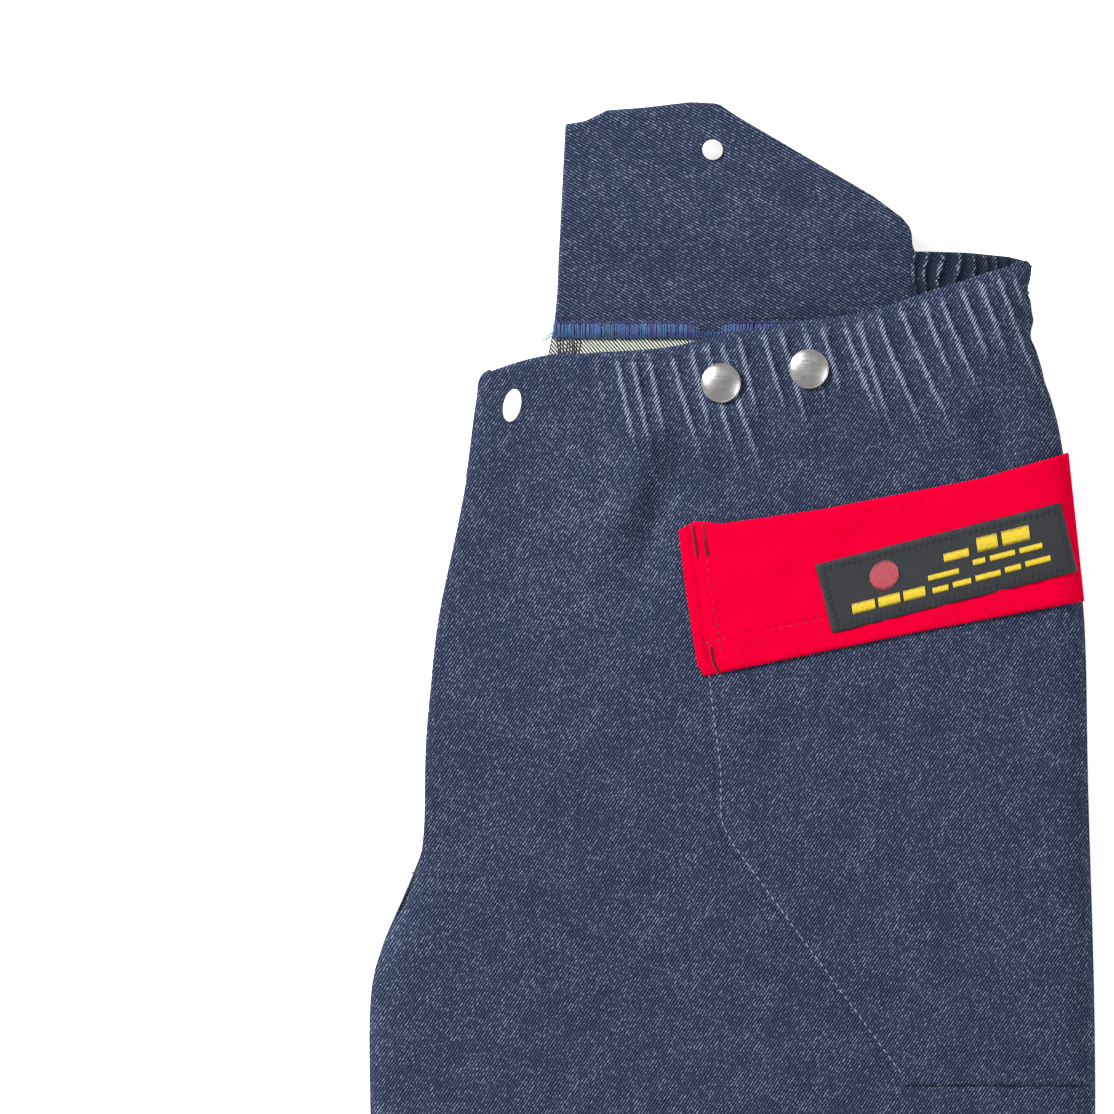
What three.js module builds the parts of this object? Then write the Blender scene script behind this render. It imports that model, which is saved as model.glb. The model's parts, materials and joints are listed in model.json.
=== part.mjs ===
// Padded denim chainsaw trousers, folded in half lengthwise and laid flat with the left leg on top.
// Millimetres. +X runs from the inseam to the outseam, +Y towards the waist, +Z up from the floor.
import * as THREE from 'three';

// ---------- driving dimensions ----------
const HALF_WIDTH = 154;
const HALF_LENGTH = 570;
const KNEE_Y = -150;
const HIGH_BACK_Y = 507;
const CUFF_DEPTH = 25;
const CLOTH = 1.5;
const THIN_CLOTH = 1;
const GAP = 0.3;
const SEAM_WIDTH = 1.5;
const EDGE_STEPS = 26;

// Heights of the left half's layers above the floor. The right half mirrors them in the stack's middle.
const STACK = 44.9;
const LEVEL = {
  back: 22.6,
  backFacing: 24.4,
  backElastic: 24.4,
  seam: 24.4,
  lining: 30.1,
  innerPad: 31.2,
  outerPad: 35.4,
  flyTape: 36.6,
  elastic: 37.5,
  flyFacing: 38.1,
  front: 39.6,
  patch: 41.4,
  band: 42.9,
  label: 45.2,
};
const PAD = 3.9;
const ELASTIC = 1.8;
const BAND = 2;
const PATCH = 1.2;
const LABEL = 0.7;
const HIGH_BACK_LEVEL = { cap: 23.5, cloth: 25.7, facing: 27.3, head: 28.6 };

// ---------- finishes ----------
const cloth = (color) => new THREE.MeshStandardMaterial({ color, roughness: 0.92, metalness: 0 });
const metal = (color) => new THREE.MeshStandardMaterial({ color, roughness: 0.38, metalness: 1 });
const DENIM = 0x3b4560;
const WRONG_SIDE = 0x8b93a3;
const RED_KNIT = 0xd0102c;
const CHARCOAL = 0x2f3136;
const PAD_YELLOW = 0xd9c46a;
const LINING_GREY = 0x8f9299;
const ELASTIC_WHITE = 0xe4e2dc;
const TAPE_NAVY = 0x1f2838;
const NICKEL = 0xc9c8c4;
const BRASS = 0xb08d4a;

// ---------- outline edges, each a smooth line through a few points ----------
const smooth = (points) => new THREE.SplineCurve(points.map(([x, y]) => new THREE.Vector2(x, y)));
const CENTRE_FRONT = [[-107.6, 452], [-114, 403], [-127, 342], [-131, 290], [-131, 249], [-140, 223],
  [-152, 210]];
const INSEAM = [[-HALF_WIDTH, 195], [-153, 120], [-146, -90], [-135, -300], [-122, -HALF_LENGTH]];
const OUTSEAM = [[128, 500], [126.5, 486], [128.3, 468], [135, 447], [139.5, 428], [149, 358], [151, 280],
  [HALF_WIDTH, 150], [151, 0], [136, -300], [113, -HALF_LENGTH]];
const CENTRE_BACK = [[-73.5, HIGH_BACK_Y], [-75, 471], [-90, 422], [-114, 337], [-128, 262], [-139, 229],
  [-152, 210]];
const FRONT_WAIST = [[-104, 455.3], [-90, 460.1], [-75, 463.3], [-61, 464], [-48, 464.1], [-24, 466.3],
  [-13, 469.4], [17, 475.3], [58, 481.2], [78, 488], [98, 494.2], [116, 500], [127, 500.8]];
const frontEdge = smooth([...CENTRE_FRONT, ...INSEAM]);
const backEdge = smooth([...CENTRE_BACK, ...INSEAM]);
const outerEdge = smooth(OUTSEAM);
const waistEdge = smooth(FRONT_WAIST);

// Where the fly corner turns back, and the zip's straight line on the right half.
const FLY_TOP = new THREE.Vector2(-61, 464);
const FLY_BOTTOM = new THREE.Vector2(-128.6, 316);
const ZIP_START = new THREE.Vector2(-110, 322);
const ZIP_END = new THREE.Vector2(-80, 438);
const BUTTONHOLE = { x: -93.7, y: 440.7, long: 14.5, wide: 7.6, lean: 78 };

// Fasteners: caps on the outside, nail heads on the inside.
const FRONT_BUTTONS = { inner: [-4.9, 450.7], outer: [32.5, 456.6] };
const HIGH_BACK_BUTTON = [-8.3, 550.1];
const FLY_BUTTON = [-71, 449];
const CAP_RADIUS = 8.5;
const CAP_HEIGHT = 3.5;
const HIGH_BACK_CAP_HEIGHT = 1.9;
const HEAD_RADIUS = 4.4;
const POST_RADIUS = 1.7;
const HOLE_RADIUS = 2.2;
const ROUND_STEPS = 24;
const FRONT_HEAD_HEIGHT = 1;
const HIGH_BACK_HEAD_HEIGHT = 1.2;
const FLY_HEAD_HEIGHT = 0.8;
const POST_DEPTH_IN_CAP = 0.45;

// Where the hips' pieces start and stop.
const WAIST_CORNER = { x: 127, y: 499 };
const RIGHT_FRONT_CORNER = { x: -72, y: 462 };
const BACK_WAIST_CORNER = [126, 502];
const SEAM_TOP = { outer: 466, inner: 190 };
const FRONT_ELASTIC = { fromX: -56, toX: 125, below: 4, width: 30 };
const BACK_ELASTIC = [[82, 473], [82, 503], [122, 499], [124, 470]];
const BACK_FACING_FOOT = 473;
const THIGH_PAD = { crotchY: 235, outerY: 425, crotchInset: 12, inset: 8 };
const THIGH_PAD_TOP = [[-112, 270], [-10, 425], [118, 432]];
const LINING = 0.8;

// The pocket: its patch's free edge, and its band's upper and lower edges.
const PATCH_EDGE = [[-17, 384], [-12, 325], [-7, 285], [-7, 264], [-2, 254], [73, 152]];
const PATCH_OUTER = { topY: 412, bottomY: 152, inset: 2 };
const BAND_TOP = [[-23, 388], [-16, 392], [-4, 391], [38, 397], [105, 410], [143, 421]];
const BAND_BOTTOM = [[149.7, 358], [80, 345], [17, 332], [-12, 326], [-15, 331], [-20, 363]];
const LABEL_PLACE = { x: 91, y: 372, lean: 14.2, long: 107.6, wide: 30 };

// The shins' pad, and the flattened tube of the cuff's hem.
const SHIN_PAD = { aboveCuff: 40, inset: 10 };
const CUFF = { fromX: -122, toX: 113, wall: 3 };

// The raised back, from its lower inner corner over its crown and down its slope.
const HIGH_BACK_FOOT = HIGH_BACK_Y + GAP;
const HIGH_BACK_EDGE = [[-73, HIGH_BACK_FOOT], [-70.5, 560.6], [-62.9, 561.8], [-53.4, 566.5], [-38, 567.6],
  [-17.8, HALF_LENGTH], [-6, 569.4], [2, 564], [60, 530], [72.6, 520.6], [76.3, 515.7], [77, HIGH_BACK_FOOT]];
const HIGH_BACK_CLOTH = 1.3;

// The fly corner's clearances from the line that it turns on, and the zip's pieces.
const FLY_FOOT = FLY_BOTTOM.y + 12;
const FLY_CORNER = { x: -104, y: 452, clear: 3 };
const FLY_TURN = [[FLY_TOP.x - 2, FLY_TOP.y - 0.6], [FLY_BOTTOM.x + 4.2, FLY_FOOT]];
const ZIP_TAPE = 1.2;
const LEFT_TAPE = { topY: 430, bottomY: 354, inset: 2, width: 6 };
const RIGHT_TAPE = { half: 5, tail: 14 };
const SLIDER_HEIGHT = 2.6;

// ---------- outline helpers ----------
// The stretch of an edge between two heights, sampled from high to low.
function stretch(edge, highY, lowY) {
  const fine = edge.getPoints(EDGE_STEPS * 12);
  const at = (y) => {
    const next = Math.max(1, fine.findIndex((point) => point.y <= y));
    const [a, b] = [fine[next - 1], fine[next]];
    const share = THREE.MathUtils.clamp((a.y - y) / (a.y - b.y || 1), 0, 1);
    return new THREE.Vector2(a.x + (b.x - a.x) * share, y);
  };
  const steps = Math.max(4, Math.ceil((EDGE_STEPS * (highY - lowY)) / HALF_LENGTH));
  return Array.from({ length: steps + 1 }, (_, i) => at(highY + ((lowY - highY) * i) / steps));
}

const shifted = (points, x, y = 0) => points.map((point) => new THREE.Vector2(point.x + x, point.y + y));
const vectors = (points) => points.map(([x, y]) => new THREE.Vector2(x, y));

// The waist's edge from one X to another.
function waist(fromX, toX) {
  return waistEdge.getPoints(EDGE_STEPS).filter((point) => point.x >= fromX && point.x <= toX);
}

// Outlines run clockwise, up the inner side first, and their holes run the other way.
function outline(...runs) {
  return new THREE.Shape(runs.flat());
}

function roundHole(shape, [x, y]) {
  shape.holes.push(new THREE.Path().absarc(x, y, HOLE_RADIUS, 0, 2 * Math.PI, false));
  return shape;
}

function buttonhole(shape) {
  const { x, y, long, wide, lean } = BUTTONHOLE;
  const turn = THREE.MathUtils.degToRad(lean);
  shape.holes.push(new THREE.Path().absellipse(x, y, long / 2, wide / 2, 0, 2 * Math.PI, false, turn));
  return shape;
}

// A leg panel between two edges, from a low to a high level.
function legPanel(inner, lowY, highY, inset = 0) {
  return outline(
    shifted(stretch(inner, highY, lowY).reverse(), inset),
    shifted(stretch(outerEdge, highY, lowY), -inset),
  );
}

// A narrow wall that follows an edge; side is +1 for a wall on the edge's right.
function seamWall(edge, lowY, highY, side) {
  const line = stretch(edge, highY, lowY);
  const other = shifted(line, side * SEAM_WIDTH).reverse();
  return outline(line, other);
}

// ---------- solids ----------
const model = new THREE.Group();

function addMesh(name, geometry, material) {
  const mesh = new THREE.Mesh(geometry, material);
  mesh.name = name;
  model.add(mesh);
  return mesh;
}

// One layer: an outline with a thickness, at its height in the left or the mirrored right half.
function layer(side, piece, shape, level, thickness, material) {
  const extrusion = { depth: thickness, bevelEnabled: false, curveSegments: 6 };
  const geometry = new THREE.ExtrudeGeometry(shape, extrusion);
  const mesh = addMesh(`${side}_${piece}`, geometry, material);
  mesh.position.z = side === 'left' ? level : STACK - level - thickness;
  return mesh;
}

function turned(profile) {
  const points = profile.map(([radius, height]) => new THREE.Vector2(radius, height));
  return new THREE.LatheGeometry(points, ROUND_STEPS).rotateX(Math.PI / 2);
}

// A button cap: flat crown, rounded shoulder and a blind socket for the nail. Its mouth is at z = 0.
function capGeometry(height) {
  const shoulder = CAP_RADIUS - height * 0.35;
  const crown = CAP_RADIUS * 0.5;
  const socket = height * 0.6;
  return turned([[0, socket], [HOLE_RADIUS, socket], [HOLE_RADIUS, 0], [CAP_RADIUS - 0.6, 0],
    [CAP_RADIUS, 0.5], [CAP_RADIUS, height * 0.45], [shoulder, height * 0.85], [crown, height], [0, height]]);
}

// A nail: a low domed head on the inside of the cloth, and a post that stands up from it.
function nailGeometry(head, length) {
  return turned([[0, 0], [HEAD_RADIUS * 0.6, 0], [HEAD_RADIUS, head * 0.6], [HEAD_RADIUS, head],
    [POST_RADIUS, head], [POST_RADIUS, length], [0, length]]);
}

// Sets a piece on a spot with its outside facing up or down.
function standOn(mesh, [x, y], z, facesUp) {
  mesh.position.set(x, y, z);
  mesh.rotation.x = facesUp ? 0 : Math.PI;
}

// ---------- hips: panels, elastics, pads, pocket ----------
function hips(side) {
  const isLeft = side === 'left';
  const inner = isLeft ? frontEdge : backEdge;
  const bottom = KNEE_Y + GAP;
  const outerRun = stretch(outerEdge, WAIST_CORNER.y, bottom);
  const frontInner = isLeft
    ? [...stretch(frontEdge, FLY_BOTTOM.y, bottom).reverse(), FLY_TOP]
    : stretch(backEdge, RIGHT_FRONT_CORNER.y, bottom).reverse();
  const waistStart = isLeft ? FLY_TOP.x + 1 : RIGHT_FRONT_CORNER.x;
  const front = outline(frontInner, waist(waistStart, WAIST_CORNER.x), outerRun);
  Object.values(FRONT_BUTTONS).forEach((spot) => roundHole(front, spot));
  if (!isLeft) roundHole(front, FLY_BUTTON);
  layer(side, 'front_panel', front, LEVEL.front, CLOTH, cloth(DENIM));

  const highBackCorner = HIGH_BACK_EDGE.at(-1);
  const backTop = vectors([[highBackCorner[0], HIGH_BACK_Y - GAP], BACK_WAIST_CORNER]);
  const back = outline(stretch(backEdge, HIGH_BACK_Y - GAP, bottom).reverse(), backTop, outerRun);
  layer(side, 'back_panel', back, LEVEL.back, CLOTH, cloth(WRONG_SIDE));

  const elasticTop = shifted(waist(FRONT_ELASTIC.fromX, FRONT_ELASTIC.toX), 0, -FRONT_ELASTIC.below);
  const elasticShape = outline(elasticTop, shifted(elasticTop, 0, -FRONT_ELASTIC.width).reverse());
  Object.values(FRONT_BUTTONS).forEach((spot) => roundHole(elasticShape, spot));
  layer(side, 'front_elastic', elasticShape, LEVEL.elastic, ELASTIC, cloth(ELASTIC_WHITE));
  const backElastic = outline(vectors(BACK_ELASTIC));
  layer(side, 'back_elastic', backElastic, LEVEL.backElastic, ELASTIC, cloth(ELASTIC_WHITE));
  const [facingLeft, facingRight] = [HIGH_BACK_EDGE[0][0], highBackCorner[0]];
  const facing = outline(vectors([[facingLeft, BACK_FACING_FOOT], [facingLeft + 1, HIGH_BACK_Y - GAP],
    [facingRight - 1, HIGH_BACK_Y - GAP], [facingRight, BACK_FACING_FOOT]]));
  layer(side, 'back_waist_facing', facing, LEVEL.backFacing, THIN_CLOTH, cloth(DENIM));

  const padInner = shifted(stretch(inner, THIGH_PAD.crotchY, bottom), THIGH_PAD.crotchInset).reverse();
  const padOuter = shifted(stretch(outerEdge, THIGH_PAD.outerY, bottom), -THIGH_PAD.inset);
  const pad = outline(padInner, vectors(THIGH_PAD_TOP), padOuter);
  layer(side, 'thigh_pad_outer', pad, LEVEL.outerPad, PAD, cloth(PAD_YELLOW));
  layer(side, 'thigh_pad_inner', pad, LEVEL.innerPad, PAD, cloth(PAD_YELLOW));
  layer(side, 'thigh_lining', pad, LEVEL.lining, LINING, cloth(LINING_GREY));

  const wallHeight = LEVEL.front - GAP - LEVEL.seam;
  const outseam = seamWall(outerEdge, bottom, SEAM_TOP.outer, -1);
  const inseam = seamWall(inner, bottom, SEAM_TOP.inner, 1);
  layer(side, 'outseam_upper', outseam, LEVEL.seam, wallHeight, cloth(DENIM));
  layer(side, 'inseam_upper', inseam, LEVEL.seam, wallHeight, cloth(DENIM));
}

// The pocket's edge runs down, turns at its corner and slants to its lowest point at the outseam.
function pocket(side) {
  const patchOuter = stretch(outerEdge, PATCH_OUTER.topY, PATCH_OUTER.bottomY).reverse();
  const patch = outline(vectors(PATCH_EDGE), shifted(patchOuter, -PATCH_OUTER.inset));
  layer(side, 'pocket_patch', patch, LEVEL.patch, PATCH, cloth(DENIM));
  const band = outline(vectors(BAND_TOP), vectors(BAND_BOTTOM));
  layer(side, 'pocket_band', band, LEVEL.band, BAND, cloth(RED_KNIT));
}

function label() {
  const { x, y, lean, long, wide } = LABEL_PLACE;
  const shape = outline(vectors([[-long / 2, -wide / 2], [-long / 2, wide / 2], [long / 2, wide / 2],
    [long / 2, -wide / 2]]));
  const mesh = layer('left', 'label', shape, LEVEL.label, LABEL, cloth(CHARCOAL));
  mesh.position.x = x;
  mesh.position.y = y;
  mesh.rotation.z = THREE.MathUtils.degToRad(lean);
}

// ---------- shins: lower panels, pads, seams and the cuff's hem ----------
function shins(side) {
  const top = KNEE_Y - GAP;
  const bottom = -HALF_LENGTH + CUFF_DEPTH + GAP;
  const panel = legPanel(frontEdge, bottom, top);
  layer(side, 'shin_front', panel, LEVEL.front, CLOTH, cloth(DENIM));
  layer(side, 'shin_back', panel, LEVEL.back, CLOTH, cloth(WRONG_SIDE));
  const pad = legPanel(frontEdge, bottom + SHIN_PAD.aboveCuff, top, SHIN_PAD.inset);
  layer(side, 'shin_pad', pad, LEVEL.innerPad, LEVEL.front - GAP - LEVEL.innerPad, cloth(PAD_YELLOW));
  const wallHeight = LEVEL.front - GAP - LEVEL.seam;
  layer(side, 'outseam_lower', seamWall(outerEdge, bottom, top, -1), LEVEL.seam, wallHeight, cloth(DENIM));
  layer(side, 'inseam_lower', seamWall(frontEdge, bottom, top, 1), LEVEL.seam, wallHeight, cloth(DENIM));
  cuffHem(side);
}

// The hem is a flattened ring around the leg's opening.
function cuffHem(side) {
  const { fromX: left, toX: right, wall } = CUFF;
  const low = side === 'left' ? LEVEL.back : 0;
  const high = side === 'left' ? STACK : STACK - LEVEL.back;
  const ring = new THREE.Shape(vectors([[left, low], [right, low], [right, high], [left, high]]));
  const hollow = vectors([[left + wall, low + wall], [left + wall, high - wall], [right - wall, high - wall],
    [right - wall, low + wall]]);
  ring.holes.push(new THREE.Path(hollow));
  const geometry = new THREE.ExtrudeGeometry(ring, { depth: CUFF_DEPTH, bevelEnabled: false });
  geometry.rotateX(Math.PI / 2);
  const mesh = addMesh(`${side}_cuff_hem`, geometry, cloth(DENIM));
  mesh.position.y = -HALF_LENGTH + CUFF_DEPTH;
}

// ---------- high back: a raised flap over the kidneys, each half with its facing ----------
function highBack(side) {
  const shape = (inset) => {
    const drawnIn = HIGH_BACK_EDGE.map(([x, y]) => [
      x - Math.sign(x) * inset,
      y === HIGH_BACK_FOOT ? y : y - inset,
    ]);
    return roundHole(outline(vectors(drawnIn)), HIGH_BACK_BUTTON);
  };
  layer(side, 'high_back', shape(0), HIGH_BACK_LEVEL.cloth, HIGH_BACK_CLOTH, cloth(DENIM));
  layer(side, 'high_back_facing', shape(1), HIGH_BACK_LEVEL.facing, THIN_CLOTH, cloth(DENIM));
}

// ---------- fly: the left corner that turns back, its facing and the zip ----------
function leftFly() {
  const corner = (inset) => {
    const edge = shifted(stretch(frontEdge, FLY_CORNER.y - inset, FLY_FOOT), inset).reverse();
    const top = shifted(waist(FLY_CORNER.x, FLY_TOP.x - FLY_CORNER.clear), 0, -inset);
    const [turnTop, turnFoot] = FLY_TURN;
    const turn = vectors([[turnTop[0] - inset, turnTop[1] - inset], [turnFoot[0] - inset, turnFoot[1]]]);
    return buttonhole(outline(edge, top, turn));
  };
  layer('left', 'fly_front', corner(0), LEVEL.front, CLOTH, cloth(DENIM));
  layer('left', 'fly_facing', corner(1), LEVEL.flyFacing, THIN_CLOTH, cloth(DENIM));
  const tapeEdge = shifted(stretch(frontEdge, LEFT_TAPE.topY, LEFT_TAPE.bottomY), LEFT_TAPE.inset);
  const tape = outline(tapeEdge, shifted(tapeEdge, LEFT_TAPE.width).reverse());
  layer('left', 'zip_tape', tape, LEVEL.flyTape, ZIP_TAPE, cloth(TAPE_NAVY));
}

function rightZip() {
  const run = ZIP_END.clone().sub(ZIP_START);
  const tilt = run.angle() - Math.PI / 2;
  const { half, tail } = RIGHT_TAPE;
  const length = run.length();
  const tape = outline(vectors([[-half, -tail], [-half, length], [half, length], [half, -tail]]));
  const tapeMesh = layer('right', 'zip_tape', tape, LEVEL.front - GAP - ZIP_TAPE, ZIP_TAPE, cloth(TAPE_NAVY));
  tapeMesh.position.x = ZIP_START.x;
  tapeMesh.position.y = ZIP_START.y;
  tapeMesh.rotation.z = tilt;

  // The slider's body narrows to a neck that holds its pull tab.
  const body = [[-4, -5], [4, -5], [5, 4], [2, 6]];
  const tab = [[2, 9], [3.2, 11], [3.2, 22], [-3.2, 22], [-3.2, 11], [-2, 9], [-2, 6], [-5, 4]];
  const slider = outline(vectors([...body, ...tab]));
  const geometry = new THREE.ExtrudeGeometry(slider, { depth: SLIDER_HEIGHT, bevelEnabled: false });
  const mesh = addMesh('zip_slider', geometry, metal(BRASS));
  mesh.position.set(ZIP_START.x, ZIP_START.y, STACK - LEVEL.front + GAP + ZIP_TAPE + GAP);
  mesh.rotation.z = tilt;
}

// ---------- buttons ----------
function buttons() {
  const nailFoot = LEVEL.elastic - GAP - FRONT_HEAD_HEIGHT;
  const nailShape = nailGeometry(FRONT_HEAD_HEIGHT, LEVEL.patch - nailFoot + CAP_HEIGHT * POST_DEPTH_IN_CAP);
  for (const [place, spot] of Object.entries(FRONT_BUTTONS)) {
    for (const side of ['left', 'right']) {
      const isLeft = side === 'left';
      const height = (level) => (isLeft ? level : STACK - level);
      const cap = addMesh(`${side}_${place}_button_cap`, capGeometry(CAP_HEIGHT), metal(NICKEL));
      standOn(cap, spot, height(LEVEL.patch), isLeft);
      const nail = addMesh(`${side}_${place}_button_nail`, nailShape, metal(NICKEL));
      standOn(nail, spot, height(nailFoot), isLeft);
    }
  }

  const { cap: capLevel, head: headLevel, cloth: clothLevel } = HIGH_BACK_LEVEL;
  const headHeight = HIGH_BACK_HEAD_HEIGHT;
  const mouth = clothLevel - GAP;
  const post = headHeight + headLevel - mouth + (mouth - capLevel) * POST_DEPTH_IN_CAP;
  for (const side of ['left', 'right']) {
    const isLeft = side === 'left';
    const height = (level) => (isLeft ? level : STACK - level);
    const cap = addMesh(`${side}_high_back_button_cap`, capGeometry(HIGH_BACK_CAP_HEIGHT), metal(NICKEL));
    standOn(cap, HIGH_BACK_BUTTON, height(mouth), !isLeft);
    const nail = addMesh(`${side}_high_back_button_nail`, nailGeometry(headHeight, post), metal(NICKEL));
    standOn(nail, HIGH_BACK_BUTTON, height(headLevel + headHeight), !isLeft);
  }

  const flyCap = addMesh('fly_button_cap', capGeometry(CAP_HEIGHT), metal(NICKEL));
  standOn(flyCap, FLY_BUTTON, CAP_HEIGHT, false);
  const inside = STACK - LEVEL.front + GAP + FLY_HEAD_HEIGHT;
  const flyPost = inside - CAP_HEIGHT * (1 - POST_DEPTH_IN_CAP);
  const flyNail = addMesh('fly_button_nail', nailGeometry(FLY_HEAD_HEIGHT, flyPost), metal(NICKEL));
  standOn(flyNail, FLY_BUTTON, inside, false);
}

for (const side of ['left', 'right']) {
  hips(side);
  pocket(side);
  shins(side);
  highBack(side);
}
label();
leftFly();
rightZip();
buttons();

export default model;
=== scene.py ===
"""Padded denim chainsaw trousers, folded in half lengthwise and laid flat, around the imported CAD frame.

Geometry is worked out in millimetres in the row frame and turned into metres when a mesh is made.
"""
import json
import math

import bpy
import numpy as np
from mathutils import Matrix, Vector


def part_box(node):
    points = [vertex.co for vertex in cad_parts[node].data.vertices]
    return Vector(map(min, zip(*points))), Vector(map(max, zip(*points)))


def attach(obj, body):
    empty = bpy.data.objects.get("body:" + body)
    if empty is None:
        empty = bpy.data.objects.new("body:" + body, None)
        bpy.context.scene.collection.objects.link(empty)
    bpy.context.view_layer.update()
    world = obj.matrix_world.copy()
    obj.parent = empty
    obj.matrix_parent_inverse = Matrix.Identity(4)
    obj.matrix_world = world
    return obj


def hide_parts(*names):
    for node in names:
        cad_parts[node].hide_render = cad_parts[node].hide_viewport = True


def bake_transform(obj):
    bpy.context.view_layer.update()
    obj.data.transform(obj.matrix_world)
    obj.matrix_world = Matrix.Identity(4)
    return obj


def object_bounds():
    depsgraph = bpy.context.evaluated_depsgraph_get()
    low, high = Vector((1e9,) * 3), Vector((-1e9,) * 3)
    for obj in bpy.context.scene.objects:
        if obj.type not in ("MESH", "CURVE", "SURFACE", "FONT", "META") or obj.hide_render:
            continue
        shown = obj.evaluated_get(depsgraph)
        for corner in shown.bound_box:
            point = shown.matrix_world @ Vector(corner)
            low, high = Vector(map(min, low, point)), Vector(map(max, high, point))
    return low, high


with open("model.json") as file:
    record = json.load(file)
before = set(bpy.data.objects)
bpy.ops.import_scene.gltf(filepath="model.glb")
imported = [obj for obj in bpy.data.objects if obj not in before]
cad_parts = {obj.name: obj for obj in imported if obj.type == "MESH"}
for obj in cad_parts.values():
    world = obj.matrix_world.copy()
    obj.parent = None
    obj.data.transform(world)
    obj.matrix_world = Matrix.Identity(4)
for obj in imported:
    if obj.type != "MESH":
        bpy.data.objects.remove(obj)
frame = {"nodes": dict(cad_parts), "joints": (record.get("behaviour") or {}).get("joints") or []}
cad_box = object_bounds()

MM = 0.001
RANDOM = np.random.default_rng(36)
SIDES = ("left", "right")


# ---------- reading the frame ----------
def low(node):
    """The lowest corner of a CAD node's box, in mm."""
    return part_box(node)[0] / MM


def high(node):
    """The highest corner of a CAD node's box, in mm."""
    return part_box(node)[1] / MM


STACK = high("left_pocket_band").z
FRONT_TOP = high("left_front_panel").z
BACK_TOP = high("left_back_panel").z
BACK_LOW = low("left_back_panel").z
SEAM_MIDDLE = (low("left_outseam_upper").z + high("left_outseam_upper").z) / 2
HIGH_BACK_TOP = high("left_high_back").z
CUFF_LOW = low("left_cuff_hem").y
CUFF_TOP = high("left_cuff_hem").y
DENIM_THICK = 1.2
SPLIT = 100.0         # where the finely made upper cloths meet the leg cloths
CROTCH = 215.0
CROTCH_FADE = 45      # how far above the crotch the sewn inner edge opens
EDGE_ROLL = 15        # width of the rounded edge along a seam of the leg
FREE_ROLL = 4         # and along the front's free inner edge
WAIST_ROLL = 3        # and along the waist
HALF_DENIM = 0.6      # at a seam the front cloth lies centred on SEAM_MIDDLE, the back cloth just under it
CLOTH_GAP = 0.5       # least gap that a hidden layer keeps below the front cloth

_edges = {}


def plan_edges(node):
    """The mesh edges of a CAD node seen from above, in mm."""
    if node not in _edges:
        mesh = frame["nodes"][node].data
        spots = np.array([v.co[:2] for v in mesh.vertices]) / MM
        ends = np.array([e.vertices[:] for e in mesh.edges])
        _edges[node] = spots[ends]
    return _edges[node]


def span(nodes, axis, value):
    """Where the CAD nodes begin and end along a line on which that axis has one value, or None."""
    found = []
    for node in nodes:
        ends = plan_edges(node)
        first, second = ends[:, 0, axis], ends[:, 1, axis]
        cut = (np.minimum(first, second) <= value) & (np.maximum(first, second) >= value)
        cut &= np.abs(first - second) > 1e-6
        share = (value - first[cut]) / (second - first)[cut]
        other = ends[cut][:, :, 1 - axis]
        found.append(other[:, 0] + share * (other[:, 1] - other[:, 0]))
    found = np.concatenate(found)
    return (found.min(), found.max()) if found.size else None


def soften(values, rounds):
    """Evens out a run of numbers, with its ends left in place."""
    values = np.array(values, float)
    for _ in range(rounds):
        values[1:-1] = (values[:-2] + 2 * values[1:-1] + values[2:]) / 4
    return values


def edge_line(nodes, axis, start, stop, end, steps=140, rounds=6):
    """A smooth edge of the CAD nodes: at each place along an axis, the lowest (end 0) or highest (end 1)."""
    places, found = [], []
    for place in np.linspace(start, stop, steps):
        reach = span(nodes, axis, place)
        if reach:
            places.append(place)
            found.append(reach[end])
    found = soften(found, rounds)
    return lambda value: np.interp(value, places, found)


def leg_nodes(side, front):
    """The CAD nodes whose inner edges make up one half's front or back."""
    names = ["front_panel", "shin_front"] if front else ["back_panel", "shin_back"]
    if front and side == "left":
        names.append("fly_front")
    return [f"{side}_{name}" for name in names]


CUFF_END = CUFF_TOP + 1
INNER = {}
OUTER = edge_line(leg_nodes("left", True), 1, CUFF_END, 497, 1, 360, 4)
WAIST = edge_line(leg_nodes("left", True), 0, -104, 126, 1)
for _side, _front_top in (("left", 453), ("right", 455)):
    INNER[_side, "front"] = edge_line(leg_nodes(_side, True), 1, CUFF_END, _front_top, 0)
    INNER[_side, "back"] = edge_line(leg_nodes(_side, False), 1, CUFF_END, 505, 0)


# ---------- shaping helpers ----------
def ramp(start, stop, value):
    """0 before start, 1 after stop, smooth between."""
    share = np.clip((value - start) / (stop - start), 0, 1)
    return share * share * (3 - 2 * share)


def roll(distance, radius):
    """How far a rounded edge has dropped, from 1 at the edge itself to 0 at the radius."""
    share = np.clip(distance / radius, 0, 1)
    return 1 - np.sqrt(1 - (1 - share) ** 2)


WAVE_COUNT = 9


def waves(x, y, size, seed):
    """Soft seeded unevenness between about -1 and 1, with bumps of about that size in mm."""
    pick = np.random.default_rng(seed)
    total = np.zeros_like(x)
    for _ in range(WAVE_COUNT):
        turn = pick.uniform(0, math.tau)
        pace = math.tau / (size * pick.uniform(0.7, 1.6))
        phase = pick.uniform(0, math.tau)
        total += np.sin(pace * (x * math.cos(turn) + y * math.sin(turn)) + phase)
    return total / math.sqrt(WAVE_COUNT * 2)


def resample(curve, shares):
    """Points at shares of a polyline's length."""
    curve = np.asarray(curve, float)
    steps = np.linalg.norm(np.diff(curve, axis=0), axis=1)
    along = np.concatenate([[0], np.cumsum(steps)]) / steps.sum()
    return np.stack([np.interp(shares, along, curve[:, i]) for i in range(curve.shape[1])], axis=1)


def bezier(a, b, c, steps=8):
    """A curve from a to c that leans towards b."""
    t = np.linspace(0, 1, steps)[:, None]
    a, b, c = (np.array(p, float) for p in (a, b, c))
    return (1 - t) ** 2 * a + 2 * t * (1 - t) * b + t * t * c


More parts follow.
